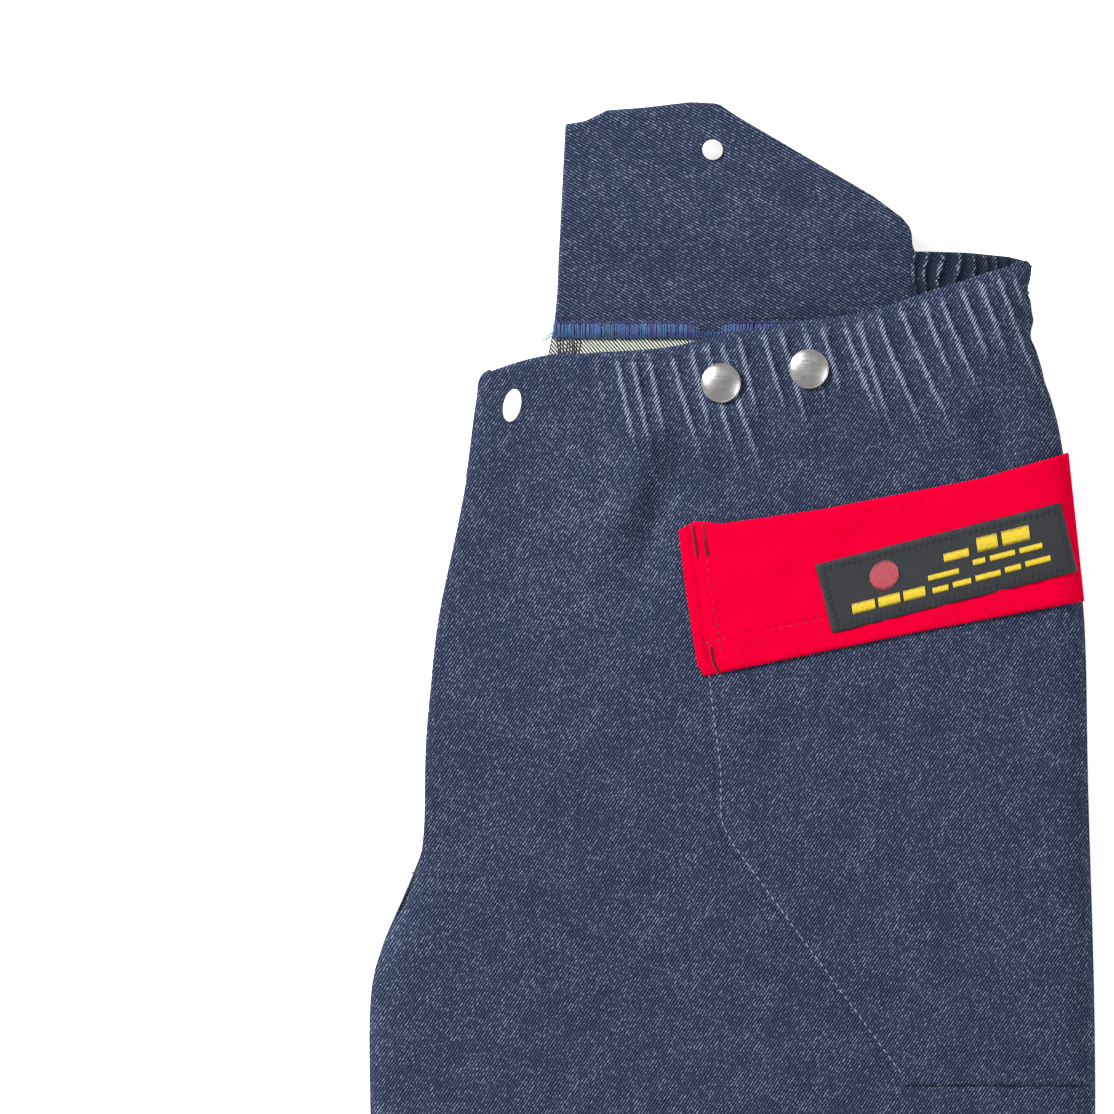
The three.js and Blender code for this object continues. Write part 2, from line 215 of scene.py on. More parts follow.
def graded(length, step, edge=0.0, edge_steps=5, ends=(True, True)):
    """Shares from 0 to 1 with an even step in mm, closer together within a rounded edge at either end."""
    turns = edge / length * (1 - np.cos(np.linspace(0, math.pi / 2, edge_steps + 1)[:-1]))
    first, last = (turns if edge and rounded else turns[:0] for rounded in ends)
    start = edge / length if len(first) else 0.0
    stop = 1 - edge / length if len(last) else 1.0
    middle = np.linspace(start, stop, max(2, round((stop - start) * length / step)) + 1)
    return np.concatenate([first, middle, 1 - last[::-1]])


def coons(left, right, bottom, top, across, up):
    """A grid of points between four boundary curves: rows go up, columns go across."""
    left, right = resample(left, up), resample(right, up)
    bottom, top = resample(bottom, across), resample(top, across)
    u, v = across[None, :, None], up[:, None, None]
    ruled = (1 - u) * left[:, None] + u * right[:, None] + (1 - v) * bottom[None] + v * top[None]
    corners = (1 - u) * (1 - v) * bottom[0] + u * (1 - v) * bottom[-1]
    corners = corners + (1 - u) * v * top[0] + u * v * top[-1]
    return ruled - corners


def within(node, *shares):
    """Points at shares of a CAD node's width and height."""
    a, b = low(node), high(node)
    return np.array([[a.x + fx * (b.x - a.x), a.y + fy * (b.y - a.y)] for fx, fy in shares])


def outline_of(node):
    """The outer outline of a flat CAD node seen from above, anticlockwise, in mm."""
    mesh = frame["nodes"][node].data
    top = max(v.co.z for v in mesh.vertices)
    flat = [p for p in mesh.polygons if abs(p.normal.z) > 0.9 and abs(p.center.z - top) < 1e-5]
    following = {}
    spots = {}
    for polygon in flat:
        keys = []
        for index in polygon.vertices:
            spot = mesh.vertices[index].co
            key = (round(spot.x, 6), round(spot.y, 6))
            spots[key] = (spot.x / MM, spot.y / MM)
            keys.append(key)
        if polygon.normal.z < 0:
            keys.reverse()
        for first, second in zip(keys, keys[1:] + keys[:1]):
            following.setdefault(first, set()).add(second)
    edges = {(a, b) for a, ends in following.items() for b in ends}
    rim = {a: b for a, b in edges if (b, a) not in edges}
    loops = []
    while rim:
        loop = [next(iter(rim))]
        while loop[-1] in rim:
            loop.append(rim.pop(loop[-1]))
        loops.append([spots[key] for key in loop[:-1]])
    sizes = [np.ptp(np.array(loop)[:, 0]) for loop in loops]
    return np.array(loops[int(np.argmax(sizes))])


def sides_of(loop, corners):
    """Cuts an outline at the points nearest to its bottom left, bottom right, top right and top left."""
    places = [int(np.argmin(np.linalg.norm(loop - np.array(corner), axis=1))) for corner in corners]
    loop = np.roll(loop, -places[0], axis=0)
    first, second, third = ((place - places[0]) % len(loop) for place in places[1:])
    bottom = loop[: first + 1]
    right = loop[first : second + 1]
    top = loop[second : third + 1][::-1]
    left = np.vstack([loop[third:], loop[:1]])[::-1]
    return left, right, bottom, top


def panel_plan(node, corners, step, edge=2.0, grow=0.0):
    """A grid over a CAD node's outline; corners are shares of its box, edge the width of its rounded rim."""
    loop = outline_of(node)
    if grow:
        tangent = np.roll(loop, -1, axis=0) - np.roll(loop, 1, axis=0)
        tangent /= np.linalg.norm(tangent, axis=1, keepdims=True)
        loop = loop + np.stack([tangent[:, 1], -tangent[:, 0]], axis=1) * grow
    left, right, bottom, top = sides_of(loop, within(node, *corners))
    width = max(np.linalg.norm(bottom[-1] - bottom[0]), np.linalg.norm(top[-1] - top[0]))
    length = max(np.linalg.norm(left[-1] - left[0]), np.linalg.norm(right[-1] - right[0]))
    return coons(left, right, bottom, top, graded(width, step, edge, 4), graded(length, step, edge, 4))


CORNERS = ((0, 0), (1, 0), (1, 1), (0, 1))


def side_distances(plan):
    """How far each grid point is from its grid's left, right, bottom and top, along the grid, in mm."""
    across = np.linalg.norm(np.diff(plan, axis=1), axis=2)
    up = np.linalg.norm(np.diff(plan, axis=0), axis=2)
    left = np.pad(np.cumsum(across, axis=1), ((0, 0), (1, 0)))
    below = np.pad(np.cumsum(up, axis=0), ((1, 0), (0, 0)))
    return left, left[:, -1:] - left, below, below[-1:] - below


def edge_distance(plan):
    """Each grid point's distance from the nearest side of the plan."""
    return np.minimum.reduce(side_distances(plan))


# ---------- meshes ----------
def make_object(name, points, faces, materials, slots=None, wear=None, smooth=True):
    """A mesh object from points in mm, with its plan as its weave's place and, at each point, a value that
    makes the denim lighter or darker: worn dye, painted highlight and painted shade.
    """
    mesh = bpy.data.meshes.new(name)
    mesh.from_pydata((np.asarray(points) * MM).tolist(), [], faces)
    for material in materials:
        mesh.materials.append(material)
    if slots is not None:
        mesh.polygons.foreach_set("material_index", slots)
    mesh.polygons.foreach_set("use_smooth", np.broadcast_to(smooth, len(mesh.polygons)))
    spots = np.asarray(points, float)[:, :2] * MM
    loops = np.empty(len(mesh.loops), np.int32)
    mesh.loops.foreach_get("vertex_index", loops)
    layer = mesh.uv_layers.new(name="weave")
    layer.data.foreach_set("uv", spots[loops].astype(np.float32).ravel())
    # per-point layer for the denim: worn dye, with painted highlight on the pleats' crests and painted shade
    # between them
    light_and_dark_marks = mesh.attributes.new("wear", "FLOAT", "POINT")
    light_and_dark_marks.data.foreach_set("value", np.asarray(np.zeros(len(points)) if wear is None else wear, np.float32))
    mesh.update()
    piece = bpy.data.objects.new(name, mesh)
    bpy.context.scene.collection.objects.link(piece)
    return piece


def normals_of(grid):
    """Unit normals of a grid of points, upwards."""
    across = np.gradient(grid, axis=1)
    up = np.gradient(grid, axis=0)
    normal = np.cross(across, up)
    return normal / np.maximum(np.linalg.norm(normal, axis=2, keepdims=True), 1e-9)


def border(rows, columns):
    """Grid indices once round the edge, anticlockwise."""
    index = np.arange(rows * columns).reshape(rows, columns)
    return np.concatenate([index[0, :-1], index[:-1, -1], index[-1, :0:-1], index[:0:-1, 0]])


def cut_hole(plan, hole):
    """Cells inside an oval, and the grid with the cells' rim moved on to the oval."""
    centre, long, wide, lean = hole
    c, s = math.cos(lean), math.sin(lean)
    turn = np.array([[c, s], [-s, c]])
    local = (plan - centre) @ turn.T / np.array([long / 2, wide / 2])
    reach = np.linalg.norm(local, axis=2)
    middle = (local[:-1, :-1] + local[1:, :-1] + local[:-1, 1:] + local[1:, 1:]) / 4
    cells = np.linalg.norm(middle, axis=2) < 1
    near = np.zeros(reach.shape, int)
    for dy, dx in ((0, 0), (1, 0), (0, 1), (1, 1)):
        near[dy : dy + cells.shape[0], dx : dx + cells.shape[1]] += cells
    rim = (near > 0) & (near < 4)
    snapped = local / np.maximum(reach, 1e-6)[..., None]
    moved = np.where(rim[..., None], snapped, local) * np.array([long / 2, wide / 2])
    return moved @ turn + centre, cells


BORDER_SIDES = ("bottom", "right", "top", "left")


def across_and_up(plan):
    """The x and the y of every point of a grid."""
    return plan[..., 0], plan[..., 1]


def cloth(name, plan, top, thickness, materials, side="left", wear=None, hole=None, rim=0.45, rim_slot=0,
          joined=(), bottom=None):
    """A closed sheet: its upper surface over a grid seen from above, and its thickness along the normal.

    The right half is the left half's shape turned over in the middle of the stack. materials are those
    of the upper and lower surfaces, for the left half's way up. joined names the sides that butt against
    another sheet, whose rim stays flat. bottom gives the lower surface's height instead of a thickness.
    top and the wear-and-shading value (worn dye, painted highlight and painted shade) are values over the
    grid, or functions of x and y.
    """
    cells = None
    top, wear = (value(*across_and_up(plan)) if callable(value) else value for value in (top, wear))
    if hole:
        plan, cells = cut_hole(plan, hole)
    upper = np.dstack([plan, top])
    lower = upper - normals_of(upper) * thickness if bottom is None else np.dstack([plan, bottom])
    rows, columns = top.shape
    count = rows * columns
    around = border(rows, columns)
    inward = np.clip(np.stack([around // columns, around % columns], 1), 1, [rows - 2, columns - 2])
    flat_upper, flat_lower = upper.reshape(-1, 3), lower.reshape(-1, 3)
    inner = inward[:, 0] * columns + inward[:, 1]
    outward = flat_upper[around] - flat_upper[inner]
    outward /= np.maximum(np.linalg.norm(outward, axis=1, keepdims=True), 1e-9)
    thick = np.linalg.norm(flat_upper[around] - flat_lower[around], axis=1, keepdims=True)
    lengths = [columns - 1, rows - 1, columns - 1, rows - 1]
    butted = np.repeat([name_of_side in joined for name_of_side in BORDER_SIDES], lengths)
    bulge = np.where(butted | np.roll(butted, 1), 0, rim)[:, None]
    ring = (flat_upper[around] + flat_lower[around]) / 2 + outward * thick * bulge
    points = np.vstack([flat_upper, flat_lower, ring])

    index = np.arange(count).reshape(rows, columns)
    quads = np.stack([index[:-1, :-1], index[:-1, 1:], index[1:, 1:], index[1:, :-1]], 2)
    kept = quads.reshape(-1, 4) if cells is None else quads[~cells]
    after = np.roll(around, -1)
    ring_index = 2 * count + np.arange(len(around))
    ring_after = np.roll(ring_index, -1)
    rim_upper = np.stack([after, around, ring_index, ring_after], 1)
    rim_lower = np.stack([ring_after, ring_index, around + count, after + count], 1)
    faces = [kept, kept[:, ::-1] + count, rim_upper, rim_lower]
    slots = [np.zeros(len(kept)), np.ones(len(kept)), np.full(2 * len(around), rim_slot)]
    smooth = [np.ones(2 * len(kept), bool), ~butted, ~butted]
    if cells is not None:
        walls = hole_walls(index, cells, count)
        faces.append(walls)
        slots.append(np.zeros(len(walls)))
        smooth.append(np.zeros(len(walls), bool))
    faces = np.vstack(faces)
    if side == "right":
        points[:, 2] = STACK - points[:, 2]
        faces = faces[:, ::-1]
    shade = np.zeros(len(points))
    if wear is not None:
        shade[:count] = shade[count : 2 * count] = np.asarray(wear).ravel()
    slots = np.concatenate(slots).astype(np.int32)
    piece = make_object(name, points, faces.tolist(), materials, slots, shade, np.concatenate(smooth))
    piece["plan"] = [float(np.ptp(plan[..., 0])), float(np.ptp(plan[..., 1])), float(plan_area(plan))]
    return piece


def hole_walls(index, cells, count):
    """Quads that join the upper and lower surfaces round the removed cells."""
    padded = np.pad(cells, 1)
    walls = []
    for r, c in zip(*np.nonzero(cells)):
        corners = [index[r, c], index[r, c + 1], index[r + 1, c + 1], index[r + 1, c]]
        neighbours = [padded[r, c + 1], padded[r + 1, c + 2], padded[r + 2, c + 1], padded[r + 1, c]]
        for i, taken in enumerate(neighbours):
            a, b = corners[i], corners[(i + 1) % 4]
            if not taken:
                walls.append([a, b, b + count, a + count])
    return np.array(walls)


def plan_area(plan):
    """Area of a grid seen from above, in mm2."""
    a, b = plan[:-1, :-1] - plan[1:, 1:], plan[:-1, 1:] - plan[1:, :-1]
    return np.abs(a[..., 0] * b[..., 1] - a[..., 1] * b[..., 0]).sum() / 2


def declare(piece, fullness=1.0, flat=None):
    """Works out a cloth piece's flat width, length and area, and keeps none of them; fullness is its cut
    width over its gathered width.
    """
    width, length, area = piece["plan"]
    width, length = flat or (width, length)
    area = min(area, width * length) * fullness * MM * MM
    width * fullness * MM
    length * MM


# ---------- shape of the garment, left half's way up ----------
# The waist's pleats, each drawn at random between two values, in mm.
PLEAT_STEP = (6.0, 10.5)
PLEAT_LEAN = (0.13, 0.21)
PLEAT_REACH = (30, 52)
PLEAT_WIDTH = (1.2, 1.8)
PLEAT_HEIGHT = (2.4, 3.8)
LEAN_GROWTH = 0.19      # how much more the last pleat leans than the first


def gather_ridges():
    """The pleats: where each starts along the waist, how it leans, and its reach, half width and height."""
    ridges = []
    first, last = low("left_front_elastic").x - 6, high("left_front_elastic").x + 2
    x = first
    while x < last:
        lean = RANDOM.uniform(*PLEAT_LEAN) + LEAN_GROWTH * (x - first) / (last - first)
        sizes = [RANDOM.uniform(*ends) for ends in (PLEAT_REACH, PLEAT_WIDTH, PLEAT_HEIGHT)]
        ridges.append((x, lean, *sizes))
        x += RANDOM.uniform(*PLEAT_STEP)
    return ridges


RIDGES = gather_ridges()
_caps = ("left_inner_button_cap", "left_outer_button_cap")
BUTTONS = [low(cap) / 2 + high(cap) / 2 for cap in _caps]

# Broad drape folds below the gathers: start, end, half width and height; a valley has a height below zero.
FOLDS = [
    ((-18, 434), (-46, 345), 9.0, -3.8),
    ((-28, 432), (-66, 360), 8.0, 2.2),
    ((4, 425), (-8, 398), 7.0, -1.2),
    ((108, 448), (117, 412), 7.0, -2.0),
    ((96, 446), (106, 414), 6.0, 1.4),
    ((62, 440), (74, 410), 8.0, -1.2),
    ((-58, 418), (-74, 372), 8.0, 0.9),
    ((-10, 240), (40, 130), 22.0, 0.8),
    ((-95, 300), (-88, 180), 16.0, 0.7),
]
CROTCH_PUCKERS = [((-131, 242), (-104, 242)), ((-137, 236), (-113, 235)), ((-142, 229), (-122, 229.5))]


PLEATS_START = (-64, -54)     # between these the waist's cloth goes from flat to gathered
LEVEL_WAIST = 112             # beyond here the pleats take the waist as level
PLEAT_CURVE = 0.0022


def pleats(x, y):
    """For each pleat: the distance from its crest, its half width, its height and how much of it shows."""
    depth = WAIST(np.minimum(x, LEVEL_WAIST)) - y
    gathered = ramp(*PLEATS_START, x - 0.3 * depth) * ramp(0, 8, depth) * ramp(1, 7, OUTER(y) - x)
    for start, lean, reach, width, height in RIDGES:
        centre = start + lean * depth + PLEAT_CURVE * lean * depth**2
        spread = width * (1 + np.clip(depth, 0, 80) / 70)
        yield x - centre, spread, height, gathered * (1 - ramp(reach * 0.62, reach * 1.5, depth))


PLEAT_POINT = 0.15      # how blunt a pleat's crest is: 0 would be a sharp ridge
PLEAT_TOP = 0.387       # its root, which brings the crest to its full height


def gathers(x, y):
    """Height of the pleats at each place: sharp crests with hollows between them."""
    total = np.zeros_like(x)
    for away, spread, height, share in pleats(x, y):
        total += height * np.exp(PLEAT_TOP - np.sqrt((away / spread) ** 2 + PLEAT_POINT)) * share
    return total


def folds(x, y, which):
    """Height of straight folds, each fading out at its ends."""
    total = np.zeros_like(x)
    for (x0, y0), (x1, y1), width, height in which:
        dx, dy = x1 - x0, y1 - y0
        length = math.hypot(dx, dy)
        along = ((x - x0) * dx + (y - y0) * dy) / length**2
        across = ((x - x0) * dy - (y - y0) * dx) / length
        fade = np.sin(np.clip(along * 0.8 + 0.1, 0, 1) * math.pi) ** 2
        total += height * np.exp(-((across / width) ** 2)) * fade
    return total


BUTTON_SEAT = 9     # radius round a brace button within which the pleats are pressed flat


def near_buttons(x, y):
    """1 on a front button's seat, 0 well away from it."""
    away = np.minimum.reduce([np.hypot(x - spot.x, y - spot.y) for spot in BUTTONS])
    return 1 - ramp(BUTTON_SEAT, BUTTON_SEAT * 1.7, away)


BLOCK_CORNER = np.array([-60.5, 420.0])     # inner lower corner of the doubled cloth round the buttonhole
BLOCK_THICK = 0.5
PLEAT_ROOM = 1.1      # how far the cloth away from pleats and buttons lies below FRONT_TOP
CREASE_WIDTH, CREASE_HEIGHT = 1.6, 1.4


def front_height(x, y, side="left"):
    """Upper surface of the front cloth."""
    inner, outer = INNER[side, "front"](y), outseam(y) if side == "left" else hidden_outseam(y)
    height = FRONT_TOP + (gathers(x, y) - PLEAT_ROOM) * (1 - near_buttons(x, y))
    height += folds(x, y, FOLDS) + 0.55 * waves(x, y, 70, 5) + 0.22 * waves(x, y, 24, 6)
    height += 0.8 * folds(x, y, [(a, b, CREASE_WIDTH, CREASE_HEIGHT) for a, b in CROTCH_PUCKERS])
    block_x, block_y = BLOCK_CORNER
    block = ramp(-108, -104, x) * (1 - ramp(block_x - 2.5, block_x + 0.5, x))
    height += BLOCK_THICK * (block * ramp(block_y - 2, block_y + 1, y))
    closed = 1 - ramp(CROTCH, CROTCH + CROTCH_FADE, y)
    drop = FRONT_TOP - SEAM_MIDDLE - HALF_DENIM
    height -= roll(outer - x, EDGE_ROLL) * drop
    height -= roll(x - inner, EDGE_ROLL) * drop * closed
    height -= roll(x - inner, FREE_ROLL) * 1.6 * (1 - closed)
    height -= roll(WAIST(x) - y, WAIST_ROLL) * 1.4 * ramp(440, 455, y)
    return np.maximum(height, SEAM_MIDDLE + HALF_DENIM)


def back_height(x, y, side="left"):
    """Upper surface of the back cloth, which is its inside on the left half."""
    inner, outer = INNER[side, "back"](y), OUTER(y)
    closed = 1 - ramp(CROTCH, CROTCH + CROTCH_FADE, y)
    rise = SEAM_MIDDLE - HALF_DENIM - BACK_TOP
    height = BACK_TOP + 0.25 * (waves(x, y, 60, 11) + 1)
    height += roll(outer - x, EDGE_ROLL) * rise
    height += roll(x - inner, EDGE_ROLL) * rise * closed
    return height + (HIGH_BACK_TOP - BACK_TOP) * ramp(488, 520, y) * (1 - ramp(78, 84, x))


# ---------- materials ----------
class Value:
    """A number in a material's node tree; arithmetic on it adds math nodes."""

    def __init__(self, nodes, socket):
        self.nodes, self.socket = nodes, socket

    def __add__(self, other):
        return self.nodes.math("ADD", self, other)

    def __sub__(self, other):
        return self.nodes.math("SUBTRACT", self, other)

    def __rsub__(self, other):
        return self.nodes.math("SUBTRACT", other, self)

    def __mul__(self, other):
        return self.nodes.math("MULTIPLY", self, other)

    def __truediv__(self, other):
        return self.nodes.math("DIVIDE", self, other)


class Nodes:
    """Short calls for building a material's node tree."""

    def __init__(self, name, **socket_values):
        self.material = bpy.data.materials.new(name)
        self.material.use_nodes = True
        self.tree = self.material.node_tree
        self.shader = self.tree.nodes["Principled BSDF"]
        for socket, value in socket_values.items():
            self.shader.inputs[socket.replace("_", " ")].default_value = value

    def add(self, kind, inputs, **settings):
        """A node with those settings, and with values or links at its inputs, by name or place."""
        node = self.tree.nodes.new(kind)
        for key, value in settings.items():
            setattr(node, key, value)
        for place, value in inputs.items():
            self.put(node.inputs[place], value)
        return node

    def put(self, socket, value):
        value = getattr(value, "socket", value)
        if isinstance(value, bpy.types.NodeSocket):
            self.tree.links.new(value, socket)
        else:
            socket.default_value = value

    def math(self, operation, *inputs):
        node = self.add("ShaderNodeMath", dict(enumerate(inputs)), operation=operation)
        return Value(self, node.outputs[0])

    def noise(self, vector, scale, detail=2.0, rough=0.5):
        inputs = {"Vector": vector, "Scale": scale, "Detail": detail, "Roughness": rough}
        return Value(self, self.add("ShaderNodeTexNoise", inputs).outputs[0])

    def mix(self, share, a, b):
        return self.add("ShaderNodeMix", {0: share, 6: a, 7: b}, data_type="RGBA").outputs[2]

    def between(self, value, start, stop, to_start=0.0, to_stop=1.0):
        """A value eased from one range into another."""
        inputs = dict(enumerate((value, start, stop, to_start, to_stop)))
        return Value(self, self.add("ShaderNodeMapRange", inputs, interpolation_type="SMOOTHSTEP").outputs[0])

    def attribute(self, name):
        return Value(self, self.add("ShaderNodeAttribute", {}, attribute_name=name).outputs["Fac"])

    def object_place(self):
        return self.add("ShaderNodeTexCoord", {}).outputs["Object"]

    def cloth_place(self, degrees):
        """Place on the cloth in mm, turned so that X runs along a line at that angle."""
        spot = self.add("ShaderNodeUVMap", {}, uv_map="weave").outputs[0]
        rotation = (0, 0, -math.radians(degrees))
        turned = {"Vector": spot, "Rotation": rotation, "Scale": (1 / MM, 1 / MM, 1 / MM)}
        return self.add("ShaderNodeMapping", turned).outputs[0]

    def apart(self, vector):
        x, y, _ = self.add("ShaderNodeSeparateXYZ", {0: vector}).outputs
        return Value(self, x), Value(self, y)

    def together(self, x, y):
        return self.add("ShaderNodeCombineXYZ", {0: x, 1: y}).outputs[0]

    def bump(self, height, distance, strength):
        inputs = {"Strength": strength, "Distance": distance, "Height": height}
        self.put(self.shader.inputs["Normal"], self.add("ShaderNodeBump", inputs).outputs[0])

    def colour(self, value):
        self.put(self.shader.inputs["Base Color"], value)
        return self.material


TWILL_PITCH = 1.15
WARP_DARK = (0.006, 0.010, 0.030, 1)
WARP_MID = (0.050, 0.068, 0.128, 1)
WEFT_FLECK = (0.42, 0.48, 0.62, 1)


def denim(name, twill_degrees, warp_degrees=90.0, fleck=0.52, dark=WARP_DARK, mid=WARP_MID, light=WEFT_FLECK,
          ground=None, pitch=TWILL_PITCH):
    """Indigo twill: diagonal ribs with thin pale weft dashes between them, uneven dye, and lighter or darker
    cloth where a per-point value says so: worn dye, painted highlight and painted shade.

    ground is the colour that shows between the ribs on the wrong side of the cloth.
    """
    n = Nodes(name, Roughness=0.9, Specular_IOR_Level=0.1)
    place = n.cloth_place(twill_degrees)
    along, across = n.apart(place)
    wobble = (n.noise(place, 0.3) - 0.5) * 0.7
    phase = (across + wobble) / pitch
    row = n.math("FLOOR", phase)
    inside = phase - row
    rib = n.math("SINE", inside * math.pi)
    groove = n.between(rib, 0.55, 1.0)

    # Each groove is a row of weft floats of uneven length, more of them where the per-point value is high
    # (worn dye and painted highlight on the pleats' crests), fewer where painted shade lowers it.
    floats = n.noise(n.together(along * 0.75, row * 7.77), 1.0, 3.0, 0.65)
    wear = n.attribute("wear")
    patches = n.noise(place, 0.07, 3.0)
    limit = 0.455 - wear * 0.26 - (patches - 0.5) * 0.18
    weft = n.between(floats, limit, limit + 0.26) * groove

    # The warp is dyed unevenly along its yarns.
    warp_along, warp_across = n.apart(n.cloth_place(warp_degrees))
    streaks = n.noise(n.together(warp_along * 0.05, warp_across * 1.4), 1.0, 3.0, 0.6)
    grain = n.noise(place, 1.1, 3.0, 0.7)
    # the same value lightens the ground for worn dye and painted highlight, and darkens it for painted shade
    tone = groove * 0.6 + streaks * 0.4 + (grain + wear * 0.3) * 0.5
    base = n.mix(n.between(tone, 0.25, 1.25), dark, mid)
    if ground is not None:
        base = n.mix(n.between(inside, 0.42, 0.56), dark, ground)
    n.bump(rib * 0.6 + grain * 0.7, 0.3 * MM, 0.7)
    strength = n.math("MAXIMUM", wear, 0.0) * 0.34 + fleck
    return n.colour(n.mix(weft * strength, base, light))


def plain_cloth(name, dark, pale, pitch, degrees=0.0, depth=0.25, rough=0.85, gloss=0.2, patchy=0.5):
    """A fine ribbed cloth: ribs of one pitch, crossed by finer ones."""
    n = Nodes(name, Roughness=rough, Specular_IOR_Level=gloss)
    place = n.cloth_place(degrees)
    along, across = n.apart(place)
    rib = n.math("SINE", across * (math.tau / pitch))
    cross = n.math("SINE", along * (math.tau / (pitch * 0.8)))
    lay = rib * 0.35 + cross * 0.15
    blur = (n.noise(place, 0.12, 3.0) - 0.5) * patchy
    n.bump(lay + n.noise(place, 1.5, 3.0) * 0.4, depth * MM, 0.7)
    return n.colour(n.mix(n.between(lay + 0.5 + blur, 0.0, 1.0), dark, pale))


def thread(name, colour, pale):
    """Spun thread: two tones in short lengths along it."""
    n = Nodes(name, Roughness=0.6, Sheen_Weight=0.2)
    return n.colour(n.mix(n.noise(n.object_place(), 900.0, 2.0), colour, pale))


def brushed_metal(name, dark, pale, rough, metallic=1.0):
    """Metal with fine brushing in one direction and faint cloudy wear."""
    n = Nodes(name, Metallic=metallic)
    place = n.object_place()
    brushing = {"Vector": place, "Rotation": (0, 0, 0.5), "Scale": (260, 2600, 260)}
    lines = n.noise(n.add("ShaderNodeMapping", brushing).outputs[0], 1.0, 4.0, 0.6)
    cloud = n.noise(place, 160.0, 3.0)
    n.put(n.shader.inputs["Roughness"], n.between(lines + cloud, 0.6, 1.4, rough - 0.08, rough + 0.12))
    n.bump(lines, 0.04 * MM, 0.5)
    return n.colour(n.mix(n.between(cloud, 0.3, 0.7), dark, pale))


FACE = denim("denim_face", 57)
FACE_TURNED = denim("denim_face_turned", -57)
FACING = denim("denim_facing", -29, warp_degrees=0.0)
WRONG_SIDE = denim("denim_wrong_side", -50, fleck=0.2, dark=(0.012, 0.017, 0.026, 1),
                   light=(0.8, 0.82, 0.8, 1), ground=(0.84, 0.89, 0.76, 1), pitch=1.17)
CASING = denim("denim_casing", 55, fleck=0.75, dark=(0.006, 0.010, 0.022, 1), mid=(0.030, 0.042, 0.075, 1))
RED = plain_cloth("red_knit", (0.66, 0.0, 0.026, 1), (0.79, 0.0, 0.037, 1),
                  0.9, 12, 0.14, gloss=0.0, patchy=0.2)
CHARCOAL = plain_cloth("label_damask", (0.020, 0.022, 0.026, 1), (0.044, 0.047, 0.054, 1),
                       0.55, 14, 0.08, 0.55)
PADDING = plain_cloth("pad_fibre", (0.50, 0.38, 0.10, 1), (0.72, 0.58, 0.18, 1), 2.2, 45, 0.5, 0.95)
LINING = plain_cloth("lining_cloth", (0.20, 0.21, 0.23, 1), (0.30, 0.31, 0.34, 1), 0.8, 0, 0.1, 0.7)
ELASTIC = plain_cloth("elastic_web", (0.55, 0.53, 0.48, 1), (0.80, 0.78, 0.72, 1), 1.8, 0, 0.4)
TAPE = plain_cloth("zip_tape_cloth", (0.010, 0.015, 0.030, 1), (0.030, 0.038, 0.060, 1), 1.1, 45, 0.2)
NAVY_THREAD = thread("navy_thread", (0.012, 0.016, 0.035, 1), (0.04, 0.05, 0.085, 1))
PALE_THREAD = thread("pale_thread", (0.24, 0.28, 0.36, 1), (0.44, 0.48, 0.55, 1))
BLACK_THREAD = thread("black_thread", (0.006, 0.006, 0.010, 1), (0.03, 0.03, 0.04, 1))
BLUE_THREAD = thread("blue_thread", (0.018, 0.060, 0.20, 1), (0.08, 0.20, 0.42, 1))
VIOLET_THREAD = thread("violet_thread", (0.045, 0.040, 0.20, 1), (0.08, 0.075, 0.32, 1))
YELLOW_THREAD = thread("yellow_thread", (0.72, 0.50, 0.01, 1), (0.92, 0.74, 0.04, 1))
ROSE_THREAD = thread("rose_thread", (0.45, 0.06, 0.09, 1), (0.58, 0.10, 0.13, 1))
NICKEL = brushed_metal("brushed_nickel", (0.52, 0.51, 0.50, 1), (0.60, 0.59, 0.58, 1), 0.34)
# painted reflection: the raised back's nail heads get a near-white, part non-metal nickel that stands in for
# their glare
NICKEL_PAINTED_GLARE = brushed_metal("bright_nickel", (0.86, 0.86, 0.85, 1), (0.95, 0.95, 0.94, 1), 0.35, 0.4)
BRASS = brushed_metal("zip_brass", (0.36, 0.22, 0.06, 1), (0.55, 0.36, 0.12, 1), 0.32)


# ---------- joints from the frame -----------------
JOINTS = {joint["name"]: joint for joint in frame["joints"]}
FLY_AXIS = Vector(JOINTS["fly_fold"]["axis"]).normalized()
FLY_POINT = Vector(JOINTS["fly_fold"]["pos_m"])
KNEE_POINT = Vector(JOINTS["knee_fold"]["pos_m"])
HIGH_BACK_POINT = Vector(JOINTS["high_back_fold"]["pos_m"])


def bend_fly(piece):
    """Bakes a piece's transform into its mesh; it is not moved with the hips or bent with the fly."""
    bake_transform(piece)


def bend_knee(piece):
    """Bakes a piece's transform into its mesh; it is not moved with the hips or shins, and not bent at the
    knee.
    """
    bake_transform(piece)


def bend_high_back(piece):
    """Bakes a piece's transform into its mesh; it is not moved with the hips or the raised back."""
    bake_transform(piece)


def on(body):
    """A way of moving a piece: it rides on one body."""
    return lambda piece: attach(piece, body)


def finish_piece(piece, moves, slot, *nodes):
    """Hides the CAD nodes that a piece stands for, and applies its way of moving to it; slot is not used."""
    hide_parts(*nodes)
    moves(piece)


# ---------- front and back cloth ----------
def line(edge, start, stop, steps=80):
    """Points on an inner or outer edge between two heights."""
    places = np.linspace(start, stop, steps)
    return np.stack([edge(places), places], axis=1)


def level(edge_in, edge_out, y):
    """A straight line across at a height, between two edges."""
    return np.array([[edge_in(y), y], [edge_out(y), y]])


# The puckered outseam below the waist: each pucker's height, half length and sway.
OUTSEAM_PUCKERS = (
    (490.0, 3.2, -2.4),
    (478.0, 2.6, 0.9),
    (470.0, 5.0, -1.7),
    (461.0, 4.0, -0.3),
    (452.0, 4.0, -0.5),
)
OUTSEAM_TOP = 492
CORNER_X = -108.2
RIGHT_TUCK = 0.9    # how much narrower the half underneath is, so that it stays hidden
BACK_TUCK = 1.3


